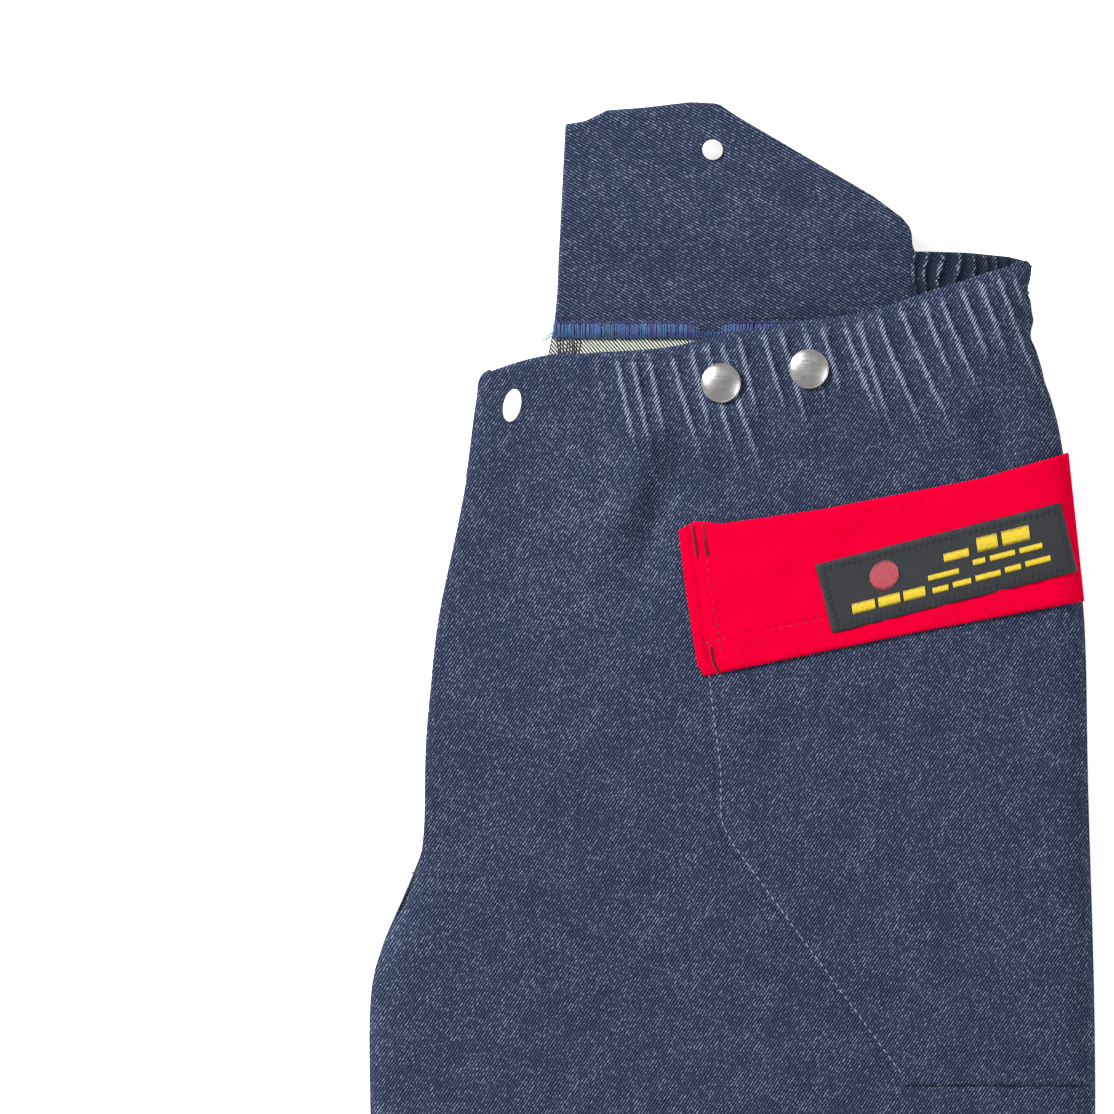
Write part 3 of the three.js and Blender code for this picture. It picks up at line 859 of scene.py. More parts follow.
def outseam(y):
    """The front cloth's puckered edge at the outseam."""
    sway = sum(reach * np.exp(-(((y - at) / half) ** 2)) for at, half, reach in OUTSEAM_PUCKERS)
    return OUTER(y) + sway


def hidden_outseam(y):
    """The outseam of the layers underneath, which keep inside its puckers."""
    return OUTER(y) - 2.4 * ramp(444, 466, y)


WAIST_END = 124.5


def waist_curve(foot, corner_x, end):
    """The left corner's lower half, the waist between the corners' middles, the right corner's lower half."""
    places = np.linspace(corner_x, WAIST_END, 60)
    along = np.stack([places, WAIST(places) + 1.6 * np.exp(-(((places - WAIST_END) / 5) ** 2))], axis=1)
    first = bezier(foot, (foot[0] - 0.3, WAIST(corner_x) + 0.6), along[0], 13)
    last = bezier(end, (end[0] + 3.4, along[-1, 1] + 0.4), along[-1], 13)
    return first[:7], np.vstack([first[6:], along[1:-1], last[:5:-1]]), last[:7]


LEG_WIDTH = 260
LEG_COLUMNS = 250


def leg_columns(count=LEG_COLUMNS):
    """Shares across a leg, with columns no wider apart on its rolled edges than between them."""
    step = LEG_WIDTH / count
    return graded(LEG_WIDTH, step, EDGE_ROLL, max(5, round(1.6 * EDGE_ROLL / step)))


# For each half: the height at which the front's inner edge ends, and where across it the waist begins.
WAIST_CORNERS = {"left": (446.6, -102.4), "right": (450, -74)}


def front_plan(side, bottom, step):
    """A grid over the front cloth, from a height up to the waist with its rounded corners."""
    inner = INNER[side, "front"]
    start, corner = WAIST_CORNERS[side]
    up = graded(start - bottom, step, 3, 3, (False, True))
    left = line(inner, bottom, start, 200)
    right = line(outseam if side == "left" else hidden_outseam, bottom, OUTSEAM_TOP, 260)
    if side == "left":
        left[:, 0] += (CORNER_X - inner(start)) * ramp(start - 40, start, left[:, 1])
    else:
        left[:, 0] += RIGHT_TUCK
        right[:, 0] -= RIGHT_TUCK
    left_corner, waist, right_corner = waist_curve(left[-1], corner, right[-1])
    left, right = np.vstack([left, left_corner[1:]]), np.vstack([right, right_corner[1:]])
    return coons(left, right, np.array([left[0], right[0]]), waist, leg_columns(), up)


def leg_plan(inner, outer, bottom, top, step, columns=LEG_COLUMNS):
    """A grid over a leg between two heights."""
    left, right = line(inner, bottom, top), line(outer, bottom, top)
    return coons(left, right, level(inner, outer, bottom), level(inner, outer, top), leg_columns(columns),
                 graded(top - bottom, step))


# The buttonhole: its middle, length, width and lean.
BUTTONHOLE = (within("left_fly_front", (0.533, 1))[0] - np.array([0, 22.7]), 14.5, 7.6, math.radians(78))
LEG_END = CUFF_TOP - 4


CREST_WIDTH = 1.1


def crest_wear_and_shading(x, y):
    """Lighter and darker marks on the front denim: narrow lines on the pleats' crests, partly worn dye and
    partly painted highlight; painted shade over the gathered cloth between them; and painted light on the
    broad fold below them.
    """
    crests, gathered = np.zeros_like(x), np.zeros_like(x)
    for away, _, _, share in pleats(x, y):
        crests = np.maximum(crests, np.exp(-((away / CREST_WIDTH) ** 2)) * share)
        gathered = np.maximum(gathered, share)
    # painted light on the lit ridge of the broad fold below the pleats
    fold = 0.12 * np.exp(-(((x + 62) / 24) ** 2) - ((y - 385) / 45) ** 2)
    # crest lines are worn dye with painted highlight; the minus term over the gathered cloth is painted shade
    # on the pleats' slopes
    return np.maximum(crests * 2.3 - 0.85 * gathered, fold * (1 - gathered))


def front_cloth():
    """The left half's front in an upper and a leg cloth, and the right half's in one."""
    plan = front_plan("left", SPLIT, 1.6)
    # per-point value: worn crests with painted highlight, and painted shade between the pleats
    piece = cloth("left_front_cloth", plan, front_height, DENIM_THICK, (FACE, WRONG_SIDE), wear=crest_wear_and_shading,
                  hole=BUTTONHOLE, joined=("bottom",))
    finish_piece(piece, bend_fly, "denim", "left_front_panel", "left_fly_front")
    declare(piece, 1.12)

    plan = leg_plan(INNER["left", "front"], outseam, LEG_END, SPLIT, 5)
    piece = cloth("left_leg_cloth", plan, front_height, DENIM_THICK, (FACE, WRONG_SIDE), joined=("top",))
    finish_piece(piece, bend_knee, "denim", "left_shin_front")
    declare(piece)

    plan = front_plan("right", LEG_END, 3.4)
    top = np.minimum(front_height(*across_and_up(plan), "right"), STACK - 0.4)
    # per-point value: worn crests with painted highlight, and painted shade between the pleats
    piece = cloth("right_front_cloth", plan, top, DENIM_THICK, (FACE_TURNED, WRONG_SIDE), "right",
                  wear=crest_wear_and_shading)
    finish_piece(piece, bend_knee, "denim", "right_front_panel", "right_shin_front")
    declare(piece, 1.05)


def back_top_curve(side):
    """Over the raised back's crown, down its slope, and along the waist to the outseam."""
    crown = sides_of(outline_of(f"{side}_high_back"), within(f"{side}_high_back", *CORNERS))
    crown = np.vstack([crown[3], crown[1][::-1]])
    waist = np.array([[80, 504.5], [100, 502.0], [118, 499.5], [back_outer(OUTSEAM_TOP), OUTSEAM_TOP]])
    return np.vstack([crown, waist])


BACK_COLUMNS = 84


def back_outer(y):
    """The back cloth's outer edge, just hidden under the front's rolled edge."""
    return hidden_outseam(y) - BACK_TUCK


def back_inner(side):
    """The back cloth's inner edge, hidden below the crotch and free above it."""
    edge = INNER[side, "back"]
    return lambda y: edge(y) + BACK_TUCK * (1 - ramp(CROTCH - 25, CROTCH, y))


def back_cloth(side):
    """A half's back: an upper cloth with the raised back, and a leg cloth."""
    inner = back_inner(side)
    faces = (WRONG_SIDE, FACE_TURNED if side == "left" else FACE)
    crown = back_top_curve(side)
    left = np.vstack([line(inner, SPLIT, 500), crown[:1]])
    right = line(back_outer, SPLIT, OUTSEAM_TOP, 260)
    upper = coons(left, right, level(inner, back_outer, SPLIT), crown, leg_columns(BACK_COLUMNS),
                  graded(430, 3.2, 2, 2, (False, True)))
    lower = leg_plan(inner, back_outer, LEG_END, SPLIT, 5, BACK_COLUMNS)
    for name, plan, butted, moves, nodes in (
        ("back_cloth", upper, "bottom", bend_high_back, ("back_panel", "high_back")),
        ("back_leg_cloth", lower, "top", bend_knee, ("shin_back",)),
    ):
        top = back_height(*across_and_up(plan), side)
        piece = cloth(f"{side}_{name}", plan, top, DENIM_THICK, faces, side, rim_slot=1, joined=(butted,))
        finish_piece(piece, moves, "denim", *(f"{side}_{node}" for node in nodes))
        declare(piece)


def high_back_facing(side):
    """The raised back's own denim, doubled to the inside and reaching down past the waist."""
    node = f"{side}_high_back"
    foot_y = low(f"{side}_back_waist_facing").y - 1.5
    crown = sides_of(outline_of(node), within(node, *CORNERS))
    inner, outer = INNER[side, "back"], crown[1]
    left = np.vstack([line(inner, foot_y, 500), crown[0][-1:]])
    right = np.vstack([[[high(node).x, foot_y]], outer[:1]])
    bottom = np.array([left[0], right[0]])
    top = np.vstack([crown[3], outer[::-1]])
    plan = coons(left, right, bottom, top, graded(150, 1.6, 1.5, 3), graded(95, 1.6, 1.5, 3))
    x, y = across_and_up(plan)
    rim = roll(edge_distance(plan), 1.6)
    height = back_height(x, y, side) + 1.2 - 0.7 * rim
    for seam in HIGH_BACK_SEAMS:
        height -= 0.35 * np.exp(-(((y - seam) / 0.9) ** 2))
    height += 0.35 * waves(x, y, 45, 21) * (1 - rim)
    piece = cloth(f"{side}_high_back_lining", plan, height, 0.9, (FACING, WRONG_SIDE), side)
    finish_piece(piece, bend_high_back, "denim", f"{side}_high_back_facing", f"{side}_back_waist_facing")
    declare(piece)


# Heights at which the raised back's two rows of stitches run.
HIGH_BACK_SEAMS = (low("left_high_back").y + 0.6, low("left_back_waist_facing").y + 5.4)


CASING_PLEAT = 5.6


def back_casing(side):
    """The casing at the back of the waist with its elastic, gathered; the front hides most of it."""
    elastic = f"{side}_back_elastic"
    left_x, foot_y = high(f"{side}_high_back").x - 1.5, low(elastic).y - 4
    waist_y = high(elastic).y + 2.6
    right = line(outseam, foot_y, OUTSEAM_TOP) - np.array([2.4, 0])
    top = np.array([[left_x, 1.4], [100, 0.8], [118, -1.0], [124, -2.6]]) + (0, waist_y)
    right[-1] = top[-1]
    left = np.array([[left_x, foot_y], top[0]])
    foot = np.array([left[0], right[0]])
    plan = coons(left, right, foot, top, graded(50, 0.9, 1, 2), graded(36, 1.6, 1.2, 3))
    x, y = across_and_up(plan)
    sway = 1.3 * np.sin(y / 5 + x / 9) + 1.1 * np.sin(x / 6)
    crest = np.abs(np.sin(math.pi * (x + sway) / CASING_PLEAT))
    height = high(elastic).z + 1.0 + 1.5 * (1 - crest) - 1.2 * roll(edge_distance(plan), 2)
    # lighter on the tops of the casing's ridges, darker between them
    light_and_dark_marks = np.exp(-((crest / 0.4) ** 2)) * (1.0 + 0.5 * waves(x, y, 9, 33)) - 0.5
    piece = cloth(f"{side}_back_casing", plan, height, 0.9, (CASING, WRONG_SIDE), side, wear=light_and_dark_marks)
    finish_piece(piece, on("hips"), "denim")
    declare(piece, 1.3)

    plan = panel_plan(elastic, CORNERS, 2.0, 1.0)
    ribbed = lambda x, y: high(elastic).z - 0.4 + 0.3 * np.sin((x + 0.35 * y) / 1.25)
    piece = cloth(f"{side}_back_elastic_web", plan, ribbed, 1.2, (ELASTIC, ELASTIC), side)
    finish_piece(piece, on("hips"), "elastic", elastic)
    declare(piece)


def front_elastic(side):
    """The front waist's elastic, drawn into the pleats."""
    node = f"{side}_front_elastic"
    plan = panel_plan(node, ((0, 0), (1, 0.5), (1, 1), (0, 0.45)), 2.0, 1.0)
    x, y = across_and_up(plan)
    height = FRONT_TOP - 3.3 + 0.3 * (gathers(x, y) - 0.9)
    height = np.minimum(height, front_height(x, y, side) - DENIM_THICK - CLOTH_GAP)
    piece = cloth(f"{side}_front_elastic_web", plan, height, 1.2, (ELASTIC, ELASTIC), side)
    finish_piece(piece, on("hips"), "elastic", node)
    declare(piece)


# ---------- inside the legs ----------
QUILT_STEP = 46.0


def inside_plan(side, inset, bottom, step):
    """A grid inside a leg from a height above the cuff to the slanting top of the thigh pad."""
    node = f"{side}_thigh_pad_outer"
    inner = INNER[side, "front" if side == "left" else "back"]
    start = 235.0
    left = line(lambda y: inner(y) + inset + 3, bottom, start)
    right = line(lambda y: OUTER(y) - inset, bottom, 420)
    top = np.vstack([left[-1:], within(node, (0.098, 0.72), (0.48, 0.985)), right[-1:]])
    return coons(left, right, np.array([left[0], right[0]]), top, graded(230, step, 6, 4),
                 graded(start - bottom, step, 6, 4))


def leg_padding(side):
    """The stitched stack of protective layers, from the waist to above the cuff, and the lining behind it."""
    foot = low(f"{side}_shin_pad").y
    plan = inside_plan(side, 8.5, foot, 6.0)
    x, y = across_and_up(plan)
    under = front_height(x, y, side) - DENIM_THICK - 0.9
    across = np.abs(np.sin(math.pi * (x + y) / QUILT_STEP)) ** 0.5
    along = np.abs(np.sin(math.pi * (x - y) / QUILT_STEP)) ** 0.5
    channels = 1 - np.minimum(across, along)
    top = np.minimum(under, FRONT_TOP - 2.4) - 1.3 * channels
    foot_level = low("left_thigh_pad_inner").z + 0.2
    piece = cloth(f"{side}_pad", plan, top, None, (PADDING, PADDING), side, rim=0.18,
                  bottom=np.minimum(foot_level + 0.5 * channels, top - 1.5))
    pads = [f"{side}_{part}" for part in ("thigh_pad_outer", "thigh_pad_inner", "shin_pad")]
    finish_piece(piece, bend_knee, "pad_fibre", *pads)

    plan = inside_plan(side, 8.0, low(f"{side}_thigh_lining").y, 6.0)
    x, y = across_and_up(plan)
    height = high("left_thigh_lining").z - 0.1 + 0.12 * waves(x, y, 50, 31)
    piece = cloth(f"{side}_lining", plan, height, 0.5, (LINING, LINING), side)
    finish_piece(piece, on("hips"), "lining", f"{side}_thigh_lining")
    declare(piece)


def seam_allowance(side, seam):
    """The pressed and overlocked seam allowance inside the leg along one of its seams."""
    inner = INNER[side, "front" if side == "left" else "back"]
    outer = seam == "outseam"
    bottom, top = CUFF_TOP + 2, high(f"{side}_{seam}_upper").y
    width = 10.5
    rim = outseam if outer else inner
    first, last = (-width - 1.5, -1.5) if outer else (1.5, width + 1.5)
    left, right = (line(lambda y, shift=shift: rim(y) + shift, bottom, top) for shift in (first, last))
    ends = [np.array([left[i], right[i]]) for i in (0, -1)]
    plan = coons(left, right, *ends, graded(width, 1.8), graded(top - bottom, 6))
    from_edge = np.abs(plan[..., 0] - rim(plan[..., 1]))
    height = SEAM_MIDDLE - 0.2 - 3.4 * ramp(1.5, 9, from_edge)
    piece = cloth(f"{side}_{seam}_allowance", plan, height, 1.0, (WRONG_SIDE, WRONG_SIDE), side)
    finish_piece(piece, bend_knee, "denim", f"{side}_{seam}_upper", f"{side}_{seam}_lower")
    declare(piece, flat=(width, top - bottom))


CUFF_DEEP = 25.0
CUFF_THICK = 2.2
CUFF_ROLL = 13      # width of the cuff's rounded sides
LIP_ROLL = 1.6      # and of its upper and lower lips
CUFF_OUT = 1.3      # how far the cuff stands above the front cloth
CUFF_IN = 0.3       # and how far it keeps above the back's lowest point


def cuff_hem(side):
    """The turned-up hem round the leg's opening: a flattened tube with a rolled edge."""
    start, end = low(f"{side}_cuff_hem").x + 1, high(f"{side}_cuff_hem").x - 1
    x = start + graded(1, 0.02, 0.06, 5) * (end - start)
    edge_drop = roll(np.minimum(x - x[0], x[-1] - x), CUFF_ROLL)
    top, bottom = FRONT_TOP + CUFF_OUT, BACK_LOW + CUFF_IN
    rows = []
    for y in CUFF_LOW + np.array([0.0, 0.4, 1.2, 4, 8, 12, 16, 20, 23, 24.6, CUFF_DEEP]):
        turned_in = 0.9 * roll(y - CUFF_LOW, LIP_ROLL) + 0.9 * roll(CUFF_LOW + CUFF_DEEP - y, LIP_ROLL)
        upper = top - turned_in - (top - SEAM_MIDDLE) * edge_drop
        lower = bottom + turned_in + (SEAM_MIDDLE - bottom) * edge_drop
        loop = np.vstack([np.stack([x, upper], 1), np.stack([x, lower], 1)[::-1][1:-1]])
        rows.append(np.insert(loop, 1, y, axis=1))
    outside = np.array(rows)
    centre = outside.mean(axis=1, keepdims=True)
    tangent = np.roll(outside, -1, axis=1) - np.roll(outside, 1, axis=1)
    inward = np.cross(tangent, [0, 1, 0])
    inward /= np.maximum(np.linalg.norm(inward, axis=2, keepdims=True), 1e-9)
    inward *= np.sign(np.sum(inward * (centre - outside), axis=2, keepdims=True).mean())
    inside = outside + inward * CUFF_THICK
    count, around = outside.shape[:2]
    points = np.vstack([outside.reshape(-1, 3), inside.reshape(-1, 3)])
    shift = count * around
    faces, slots = [], []
    for i in range(around):
        j = (i + 1) % around
        for k in range(count - 1):
            a, b = k * around + i, k * around + j
            faces.append((a, a + around, b + around, b))
            faces.append((a + shift, b + shift, b + around + shift, a + around + shift))
            slots += [0, 1]
        top = (count - 1) * around
        faces.append((i, j, j + shift, i + shift))
        faces.append((top + i, top + i + shift, top + j + shift, top + j))
        slots += [0, 0]
    if side == "right":
        points[:, 2] = STACK - points[:, 2]
        faces = [face[::-1] for face in faces]
    face = FACE if side == "left" else FACE_TURNED
    piece = make_object(f"{side}_cuff", points, faces, (face, WRONG_SIDE), slots)
    finish_piece(piece, on("shins"), "denim", f"{side}_cuff_hem")
    width = (high(f"{side}_cuff_hem").x - low(f"{side}_cuff_hem").x) * 2 * MM


# ---------- threads ----------
class Threads:
    """Collects lengths of thread as one mesh."""

    def __init__(self):
        self.points, self.faces = [], []

    def add(self, path, radius, sides=6):
        """A length of thread along a path in mm, drawn in at its ends."""
        path = np.asarray(path, float)
        along = np.gradient(path, axis=0)
        along /= np.maximum(np.linalg.norm(along, axis=1, keepdims=True), 1e-9)
        across = np.cross(along, [0, 0, 1.0])
        across /= np.maximum(np.linalg.norm(across, axis=1, keepdims=True), 1e-9)
        up = np.cross(across, along)
        size = np.full(len(path), radius)
        size[[0, -1]] *= 0.35
        turns = np.linspace(0, math.tau, sides, endpoint=False)
        ring = across[:, None] * np.cos(turns)[:, None] + up[:, None] * np.sin(turns)[:, None]
        start = len(self.points)
        self.points.extend((path[:, None] + ring * size[:, None, None]).reshape(-1, 3).tolist())
        for k in range(len(path) - 1):
            for i in range(sides):
                j = (i + 1) % sides
                a = start + k * sides
                self.faces.append((a + i, a + j, a + sides + j, a + sides + i))
        last = start + (len(path) - 1) * sides
        self.faces.append(tuple(start + i for i in range(sides))[::-1])
        self.faces.append(tuple(last + i for i in range(sides)))

    def stitches(self, path, height, long=2.7, gap=0.9, radius=0.26, lift=0.12):
        """A row of stitches along a path seen from above, each one sinking into the cloth at its ends."""
        path = np.asarray(path, float)
        total = np.linalg.norm(np.diff(path, axis=0), axis=1).sum()
        for start in np.arange(0, total - long, long + gap):
            shares = (start + long * np.linspace(0, 1, 5)) / total
            spots = resample(path, shares)
            arch = lift + radius * np.array([-0.9, 0.25, 0.5, 0.25, -0.9])
            z = height(spots[:, 0], spots[:, 1]) + arch
            self.add(np.column_stack([spots, z]), radius)

    def zigzag(self, path, height, half_width, pitch, radius=0.22, lift=0.1):
        """Thread that runs from side to side along a path."""
        path = np.asarray(path, float)
        total = np.linalg.norm(np.diff(path, axis=0), axis=1).sum()
        count = max(4, round(total / pitch) * 2)
        spots = resample(path, np.linspace(0, 1, count))
        along = np.gradient(spots, axis=0)
        along /= np.linalg.norm(along, axis=1, keepdims=True)
        sides = np.where(np.arange(count) % 2, 1.0, -1.0)[:, None] * half_width
        spots = spots + np.stack([-along[:, 1], along[:, 0]], 1) * sides
        self.add(np.column_stack([spots, height(spots[:, 0], spots[:, 1]) + lift]), radius)

    def make(self, name, material, moves, slot, side="left"):
        points = np.array(self.points)
        faces = self.faces
        if side == "right":
            points[:, 2] = STACK - points[:, 2]
            faces = [face[::-1] for face in faces]
        finish_piece(make_object(name, points, faces, (material,)), moves, slot)


# ---------- pocket, band and label ----------
def patch_height(x, y):
    """Upper surface of the pocket patch."""
    return front_height(x, y) + 1.15


def pocket_patch(side):
    """The patch pocket on a half's front."""
    node = f"{side}_pocket_patch"
    plan = panel_plan(node, ((0.086, 0.385), (1, 0), (1, 1), (0, 0.893)), 1.8)
    x, y = across_and_up(plan)
    height = np.minimum(patch_height(x, y), STACK - 0.3) - 0.75 * roll(edge_distance(plan), 2.2)
    material = FACE if side == "left" else FACE_TURNED
    piece = cloth(f"{side}_pocket", plan, height, 0.85, (material, WRONG_SIDE), side)
    finish_piece(piece, on("hips"), "denim", node)
    declare(piece)


BAND_CORNERS = ((0.064, 0), (1, 0.337), (0.961, 1), (0, 0.655))
BAND_CREASE = 5.8
BAND_HEM = {"left": 14.4, "right": 12.2}


def band_body(x, y):
    """Height of the band's knit away from its edges."""
    wrap = roll(OUTER(y) + 4 - x, 12)
    return np.minimum(front_height(x, y), FRONT_TOP + 1.5) * 0.5 + FRONT_TOP * 0.5 + 2.7 - 2.5 * wrap


def band_hem(plan):
    """How far above the band's lower edge its hem runs, in each column of its grid."""
    return np.linspace(BAND_HEM["left"], BAND_HEM["right"], plan.shape[1])


def pocket_band(side):
    """The pocket's mouth: a doubled band of red knit, its left end folded under and creased."""
    node = f"{side}_pocket_band"
    plan = panel_plan(node, BAND_CORNERS, 1.3, 1.6)
    x, y = across_and_up(plan)
    left, _, bottom, top = side_distances(plan)
    rim = roll(edge_distance(plan), 1.8)
    height = band_body(x, y) - 1.0 * rim
    crease = BAND_CREASE + 0.5 * np.sin(y / 11)
    height -= 1.5 * np.exp(-(((left - crease) / 0.7) ** 2))
    height -= 0.5 * np.exp(-(((left - 2.0) / 0.6) ** 2)) * ramp(8, 20, top)
    height -= 0.3 * (1 - ramp(crease - 1, crease + 1, left))
    height -= 0.3 * np.exp(-(((bottom - band_hem(plan)) / 0.7) ** 2))
    height += 0.22 * waves(x, y, 17, 41) * (1 - rim)
    piece = cloth(f"{side}_band", plan, np.minimum(height, STACK + 0.6), 1.7, (RED, RED), side)
    finish_piece(piece, on("hips"), "red_knit", node)
    declare(piece)
    return plan


def from_left(plan, distance, bottom_share=0.0, top_share=1.0):
    """A line down a grid at a distance from its left edge, from the top to the bottom share."""
    left = side_distances(plan)[0]
    rows = np.arange(len(plan) - 1, -1, -1)
    spots = np.array([[np.interp(distance, left[r], plan[r, :, i]) for i in (0, 1)] for r in rows])
    return resample(spots, np.linspace(1 - top_share, 1 - bottom_share, 60))


def band_stitches(side, plan):
    """Two rows down the folded end, bar tacks at their ends, and the band's hem."""
    threads = Threads()
    height = lambda x, y: band_body(x, y) - 0.1
    for distance, tacks in ((6.9, ((0.77, 0.985), (0.02, 0.19))), (11.4, ((0.77, 0.985),))):
        for start, stop in tacks:
            threads.zigzag(from_left(plan, distance, start, stop), height, 0.75, 0.75, 0.24, 0.15)
    threads.stitches(from_left(plan, 10.9, 0.02, 0.80), height, 2.2, 1.2, 0.16, 0.02)
    below, above = side_distances(plan)[2], band_hem(plan)
    hem = np.array([[np.interp(above[c], below[:, c], plan[:, c, i]) for i in (0, 1)]
                    for c in range(4, plan.shape[1] - 2)])
    threads.stitches(hem, lambda x, y: band_body(x, y) - 0.28, 2.4, 1.1, 0.13, 0.0)
    threads.make(f"{side}_band_stitches", BLACK_THREAD, on("hips"), "red_knit", side)


class StripPlace:
    """A flat rectangular CAD node's own axes."""

    def __init__(self, node):
        loop = outline_of(node)
        self.centre = loop.mean(axis=0)
        edges = np.roll(loop, -1, axis=0) - loop
        longest = edges[int(np.argmax(np.linalg.norm(edges, axis=1)))]
        longest = longest * np.sign(longest[0])
        self.long = np.linalg.norm(edges, axis=1).max()
        self.wide = np.linalg.norm(edges, axis=1).min()
        self.right = longest / np.linalg.norm(longest)
        self.up = np.array([-self.right[1], self.right[0]])

    def __call__(self, u, v):
        """Row frame places of label places: u along it and v across it, from its middle."""
        return self.centre + np.multiply.outer(u, self.right) + np.multiply.outer(v, self.up)


class LabelPlace(StripPlace):
    def height(self, x, y):
        spots = np.stack([x, y], axis=-1) - self.centre
        u, v = spots @ self.right, spots @ self.up
        near = 1 - ramp(0, 7, np.minimum(self.long / 2 - np.abs(u), self.wide / 2 - np.abs(v)))
        pucker = np.sin(u / 1.9 + 1.3 * np.sin(u / 5) + v / 3) * near * 0.22
        ridge = np.exp(-(((u + 6 + 0.7 * v) / 1.5) ** 2))
        groove = np.exp(-(((u - 8 + 0.8 * v) / 2.0) ** 2))
        crease = 0.35 * ridge - 0.3 * groove
        return band_body(x, y) + 0.75 + pucker + crease


def label():
    """The label: charcoal damask held by a zigzag all round, with plain bars and a disc for its print."""
    place = LabelPlace("left_label")
    u = np.linspace(-place.long / 2, place.long / 2, 96)
    v = np.linspace(-place.wide / 2, place.wide / 2, 30)
    plan = place(*np.meshgrid(u, v))
    edge = edge_distance(plan)
    height = place.height(plan[..., 0], plan[..., 1]) - 0.35 * roll(edge, 1.2)
    piece = cloth("label_cloth", plan, height, 0.5, (CHARCOAL, CHARCOAL))
    finish_piece(piece, on("hips"), "label_cloth", "left_label")

    border = Threads()
    inset = 2.6
    across, up = place.long / 2 - inset, place.wide / 2 - inset
    corners = [(-across, -up), (across, -up), (across, up), (-across, up), (-across, -up)]
    for (u0, v0), (u1, v1) in zip(corners, corners[1:]):
        run = place(np.linspace(u0, u1, 40), np.linspace(v0, v1, 40))
        border.zigzag(run, place.height, 0.95, 2.6, 0.2, 0.08)
    border.make("label_border", BLACK_THREAD, on("hips"), "label_cloth")
    label_marks(place)


# The label's bars: start and end along it, middle across it, and width, all in mm.
LABEL_BARS = (
    (-43, -33, -7.2, 4.6), (-31.5, -22, -7.2, 4.6), (-20.5, -11, -7.2, 4.6),
    (0, 11, 4.3, 3.8), (15, 24, 6.2, 6.4), (26, 38, 6.2, 6.4),
    (11.5, 17, -0.6, 2.6), (19, 30, -0.6, 2.6), (32, 42, -0.6, 2.6),
    (-8.5, 5, -2.4, 2.5),
    (-8, -1, -8.0, 2.7), (1, 9, -7.7, 2.7), (11, 22, -7.4, 2.7), (24, 31, -7.0, 2.7), (33, 44, -6.7, 2.7),
)
LABEL_DISC = (-26.5, 3.4, 6.4)


def label_marks(place):
    """Satin stitch: every bar and the disc are filled with short threads side by side."""
    bars = Threads()
    slant = 0.12
    for start, stop, middle, width in LABEL_BARS:
        for u in np.arange(start, stop, 0.5):
            v = np.linspace(-width / 2, width / 2, 5)
            spots = place(u + slant * v, middle + v)
            rise = 0.12 + 0.22 * np.sin(np.linspace(0, math.pi, 5))
            bars.add(np.column_stack([spots, place.height(*spots.T) + rise]), 0.27, 5)
    bars.make("label_bars", YELLOW_THREAD, on("hips"), "label_cloth")
    disc = Threads()
    centre_u, centre_v, radius = LABEL_DISC
    for u in np.arange(-radius + 0.3, radius, 0.5):
        reach = math.sqrt(radius**2 - u**2)
        v = np.linspace(-reach, reach, 7)
        spots = place(centre_u + u + slant * v, centre_v + v)
        rise = 0.12 + 0.2 * np.sin(np.linspace(0, math.pi, 7))
        disc.add(np.column_stack([spots, place.height(*spots.T) + rise]), 0.27, 5)
    disc.make("label_disc", ROSE_THREAD, on("hips"), "label_cloth")


# ---------- seams that show ----------
def front_seams(side):
    """Rows in thread of the cloth's own colour: the corner block, the fly, a zigzag just below the waist, a
    row further down across the front, and the crotch.
    """
    height = lambda x, y: front_height(x, y, side)
    inner = INNER[side, "front"]
    navy = Threads()
    x, y = BLOCK_CORNER
    if side == "left":
        navy.stitches([(inner(y) + 3, y - 1), (x, y)], height, 2.0, 1.0, 0.17, 0.02)
        navy.stitches([(x, y), (x + 1.5, WAIST(x) - 3)], height, 2.0, 1.0, 0.17, 0.02)
        navy.stitches(line(lambda v: inner(v) + 3.2, 246, y - 2, 60), height, 2.0, 1.0, 0.17, 0.0)
    start, stop = low("left_front_elastic").x + 8, low("left_front_elastic").x + 34
    places = np.linspace(start, stop, 30)
    navy.zigzag(np.column_stack([places, WAIST(places) - 4.2]), height, 0.9, 1.3, 0.18, 0.05)
    places = np.linspace(x + 2, 124, 90)
    navy.stitches(np.column_stack([places, WAIST(places) - 37]), height, 2.2, 1.3, 0.15, -0.03)
    (x0, y0), (x1, y1) = CROTCH_PUCKERS[0]
    navy.stitches([(x0 - 6, y0), (x1, y1)], height, 1.8, 0.9, 0.17, 0.0)
    moves = bend_fly if side == "left" else on("hips")
    navy.make(f"{side}_front_stitches", NAVY_THREAD, moves, "denim", side)


def buttonhole_stitches():
    """Whip stitches round the buttonhole's rim."""
    centre, long, wide, lean = BUTTONHOLE
    threads = Threads()
    count = 74
    for turn in np.linspace(0, math.tau, count, endpoint=False):
        spots = []
        for grow, drop in ((-0.25, -0.9), (-0.1, 0.12), (0.5, 0.22), (1.1, -0.1)):
            u = (long / 2 + grow) * math.cos(turn)
            v = (wide / 2 + grow) * math.sin(turn)
            x = centre[0] + u * math.cos(lean) - v * math.sin(lean)
            y = centre[1] + u * math.sin(lean) + v * math.cos(lean)
            spots.append((x, y, float(front_height(np.array(x), np.array(y))) + drop))
        threads.add(spots, 0.2, 5)
    threads.make("buttonhole_stitches", NAVY_THREAD, on("left_fly"), "denim")


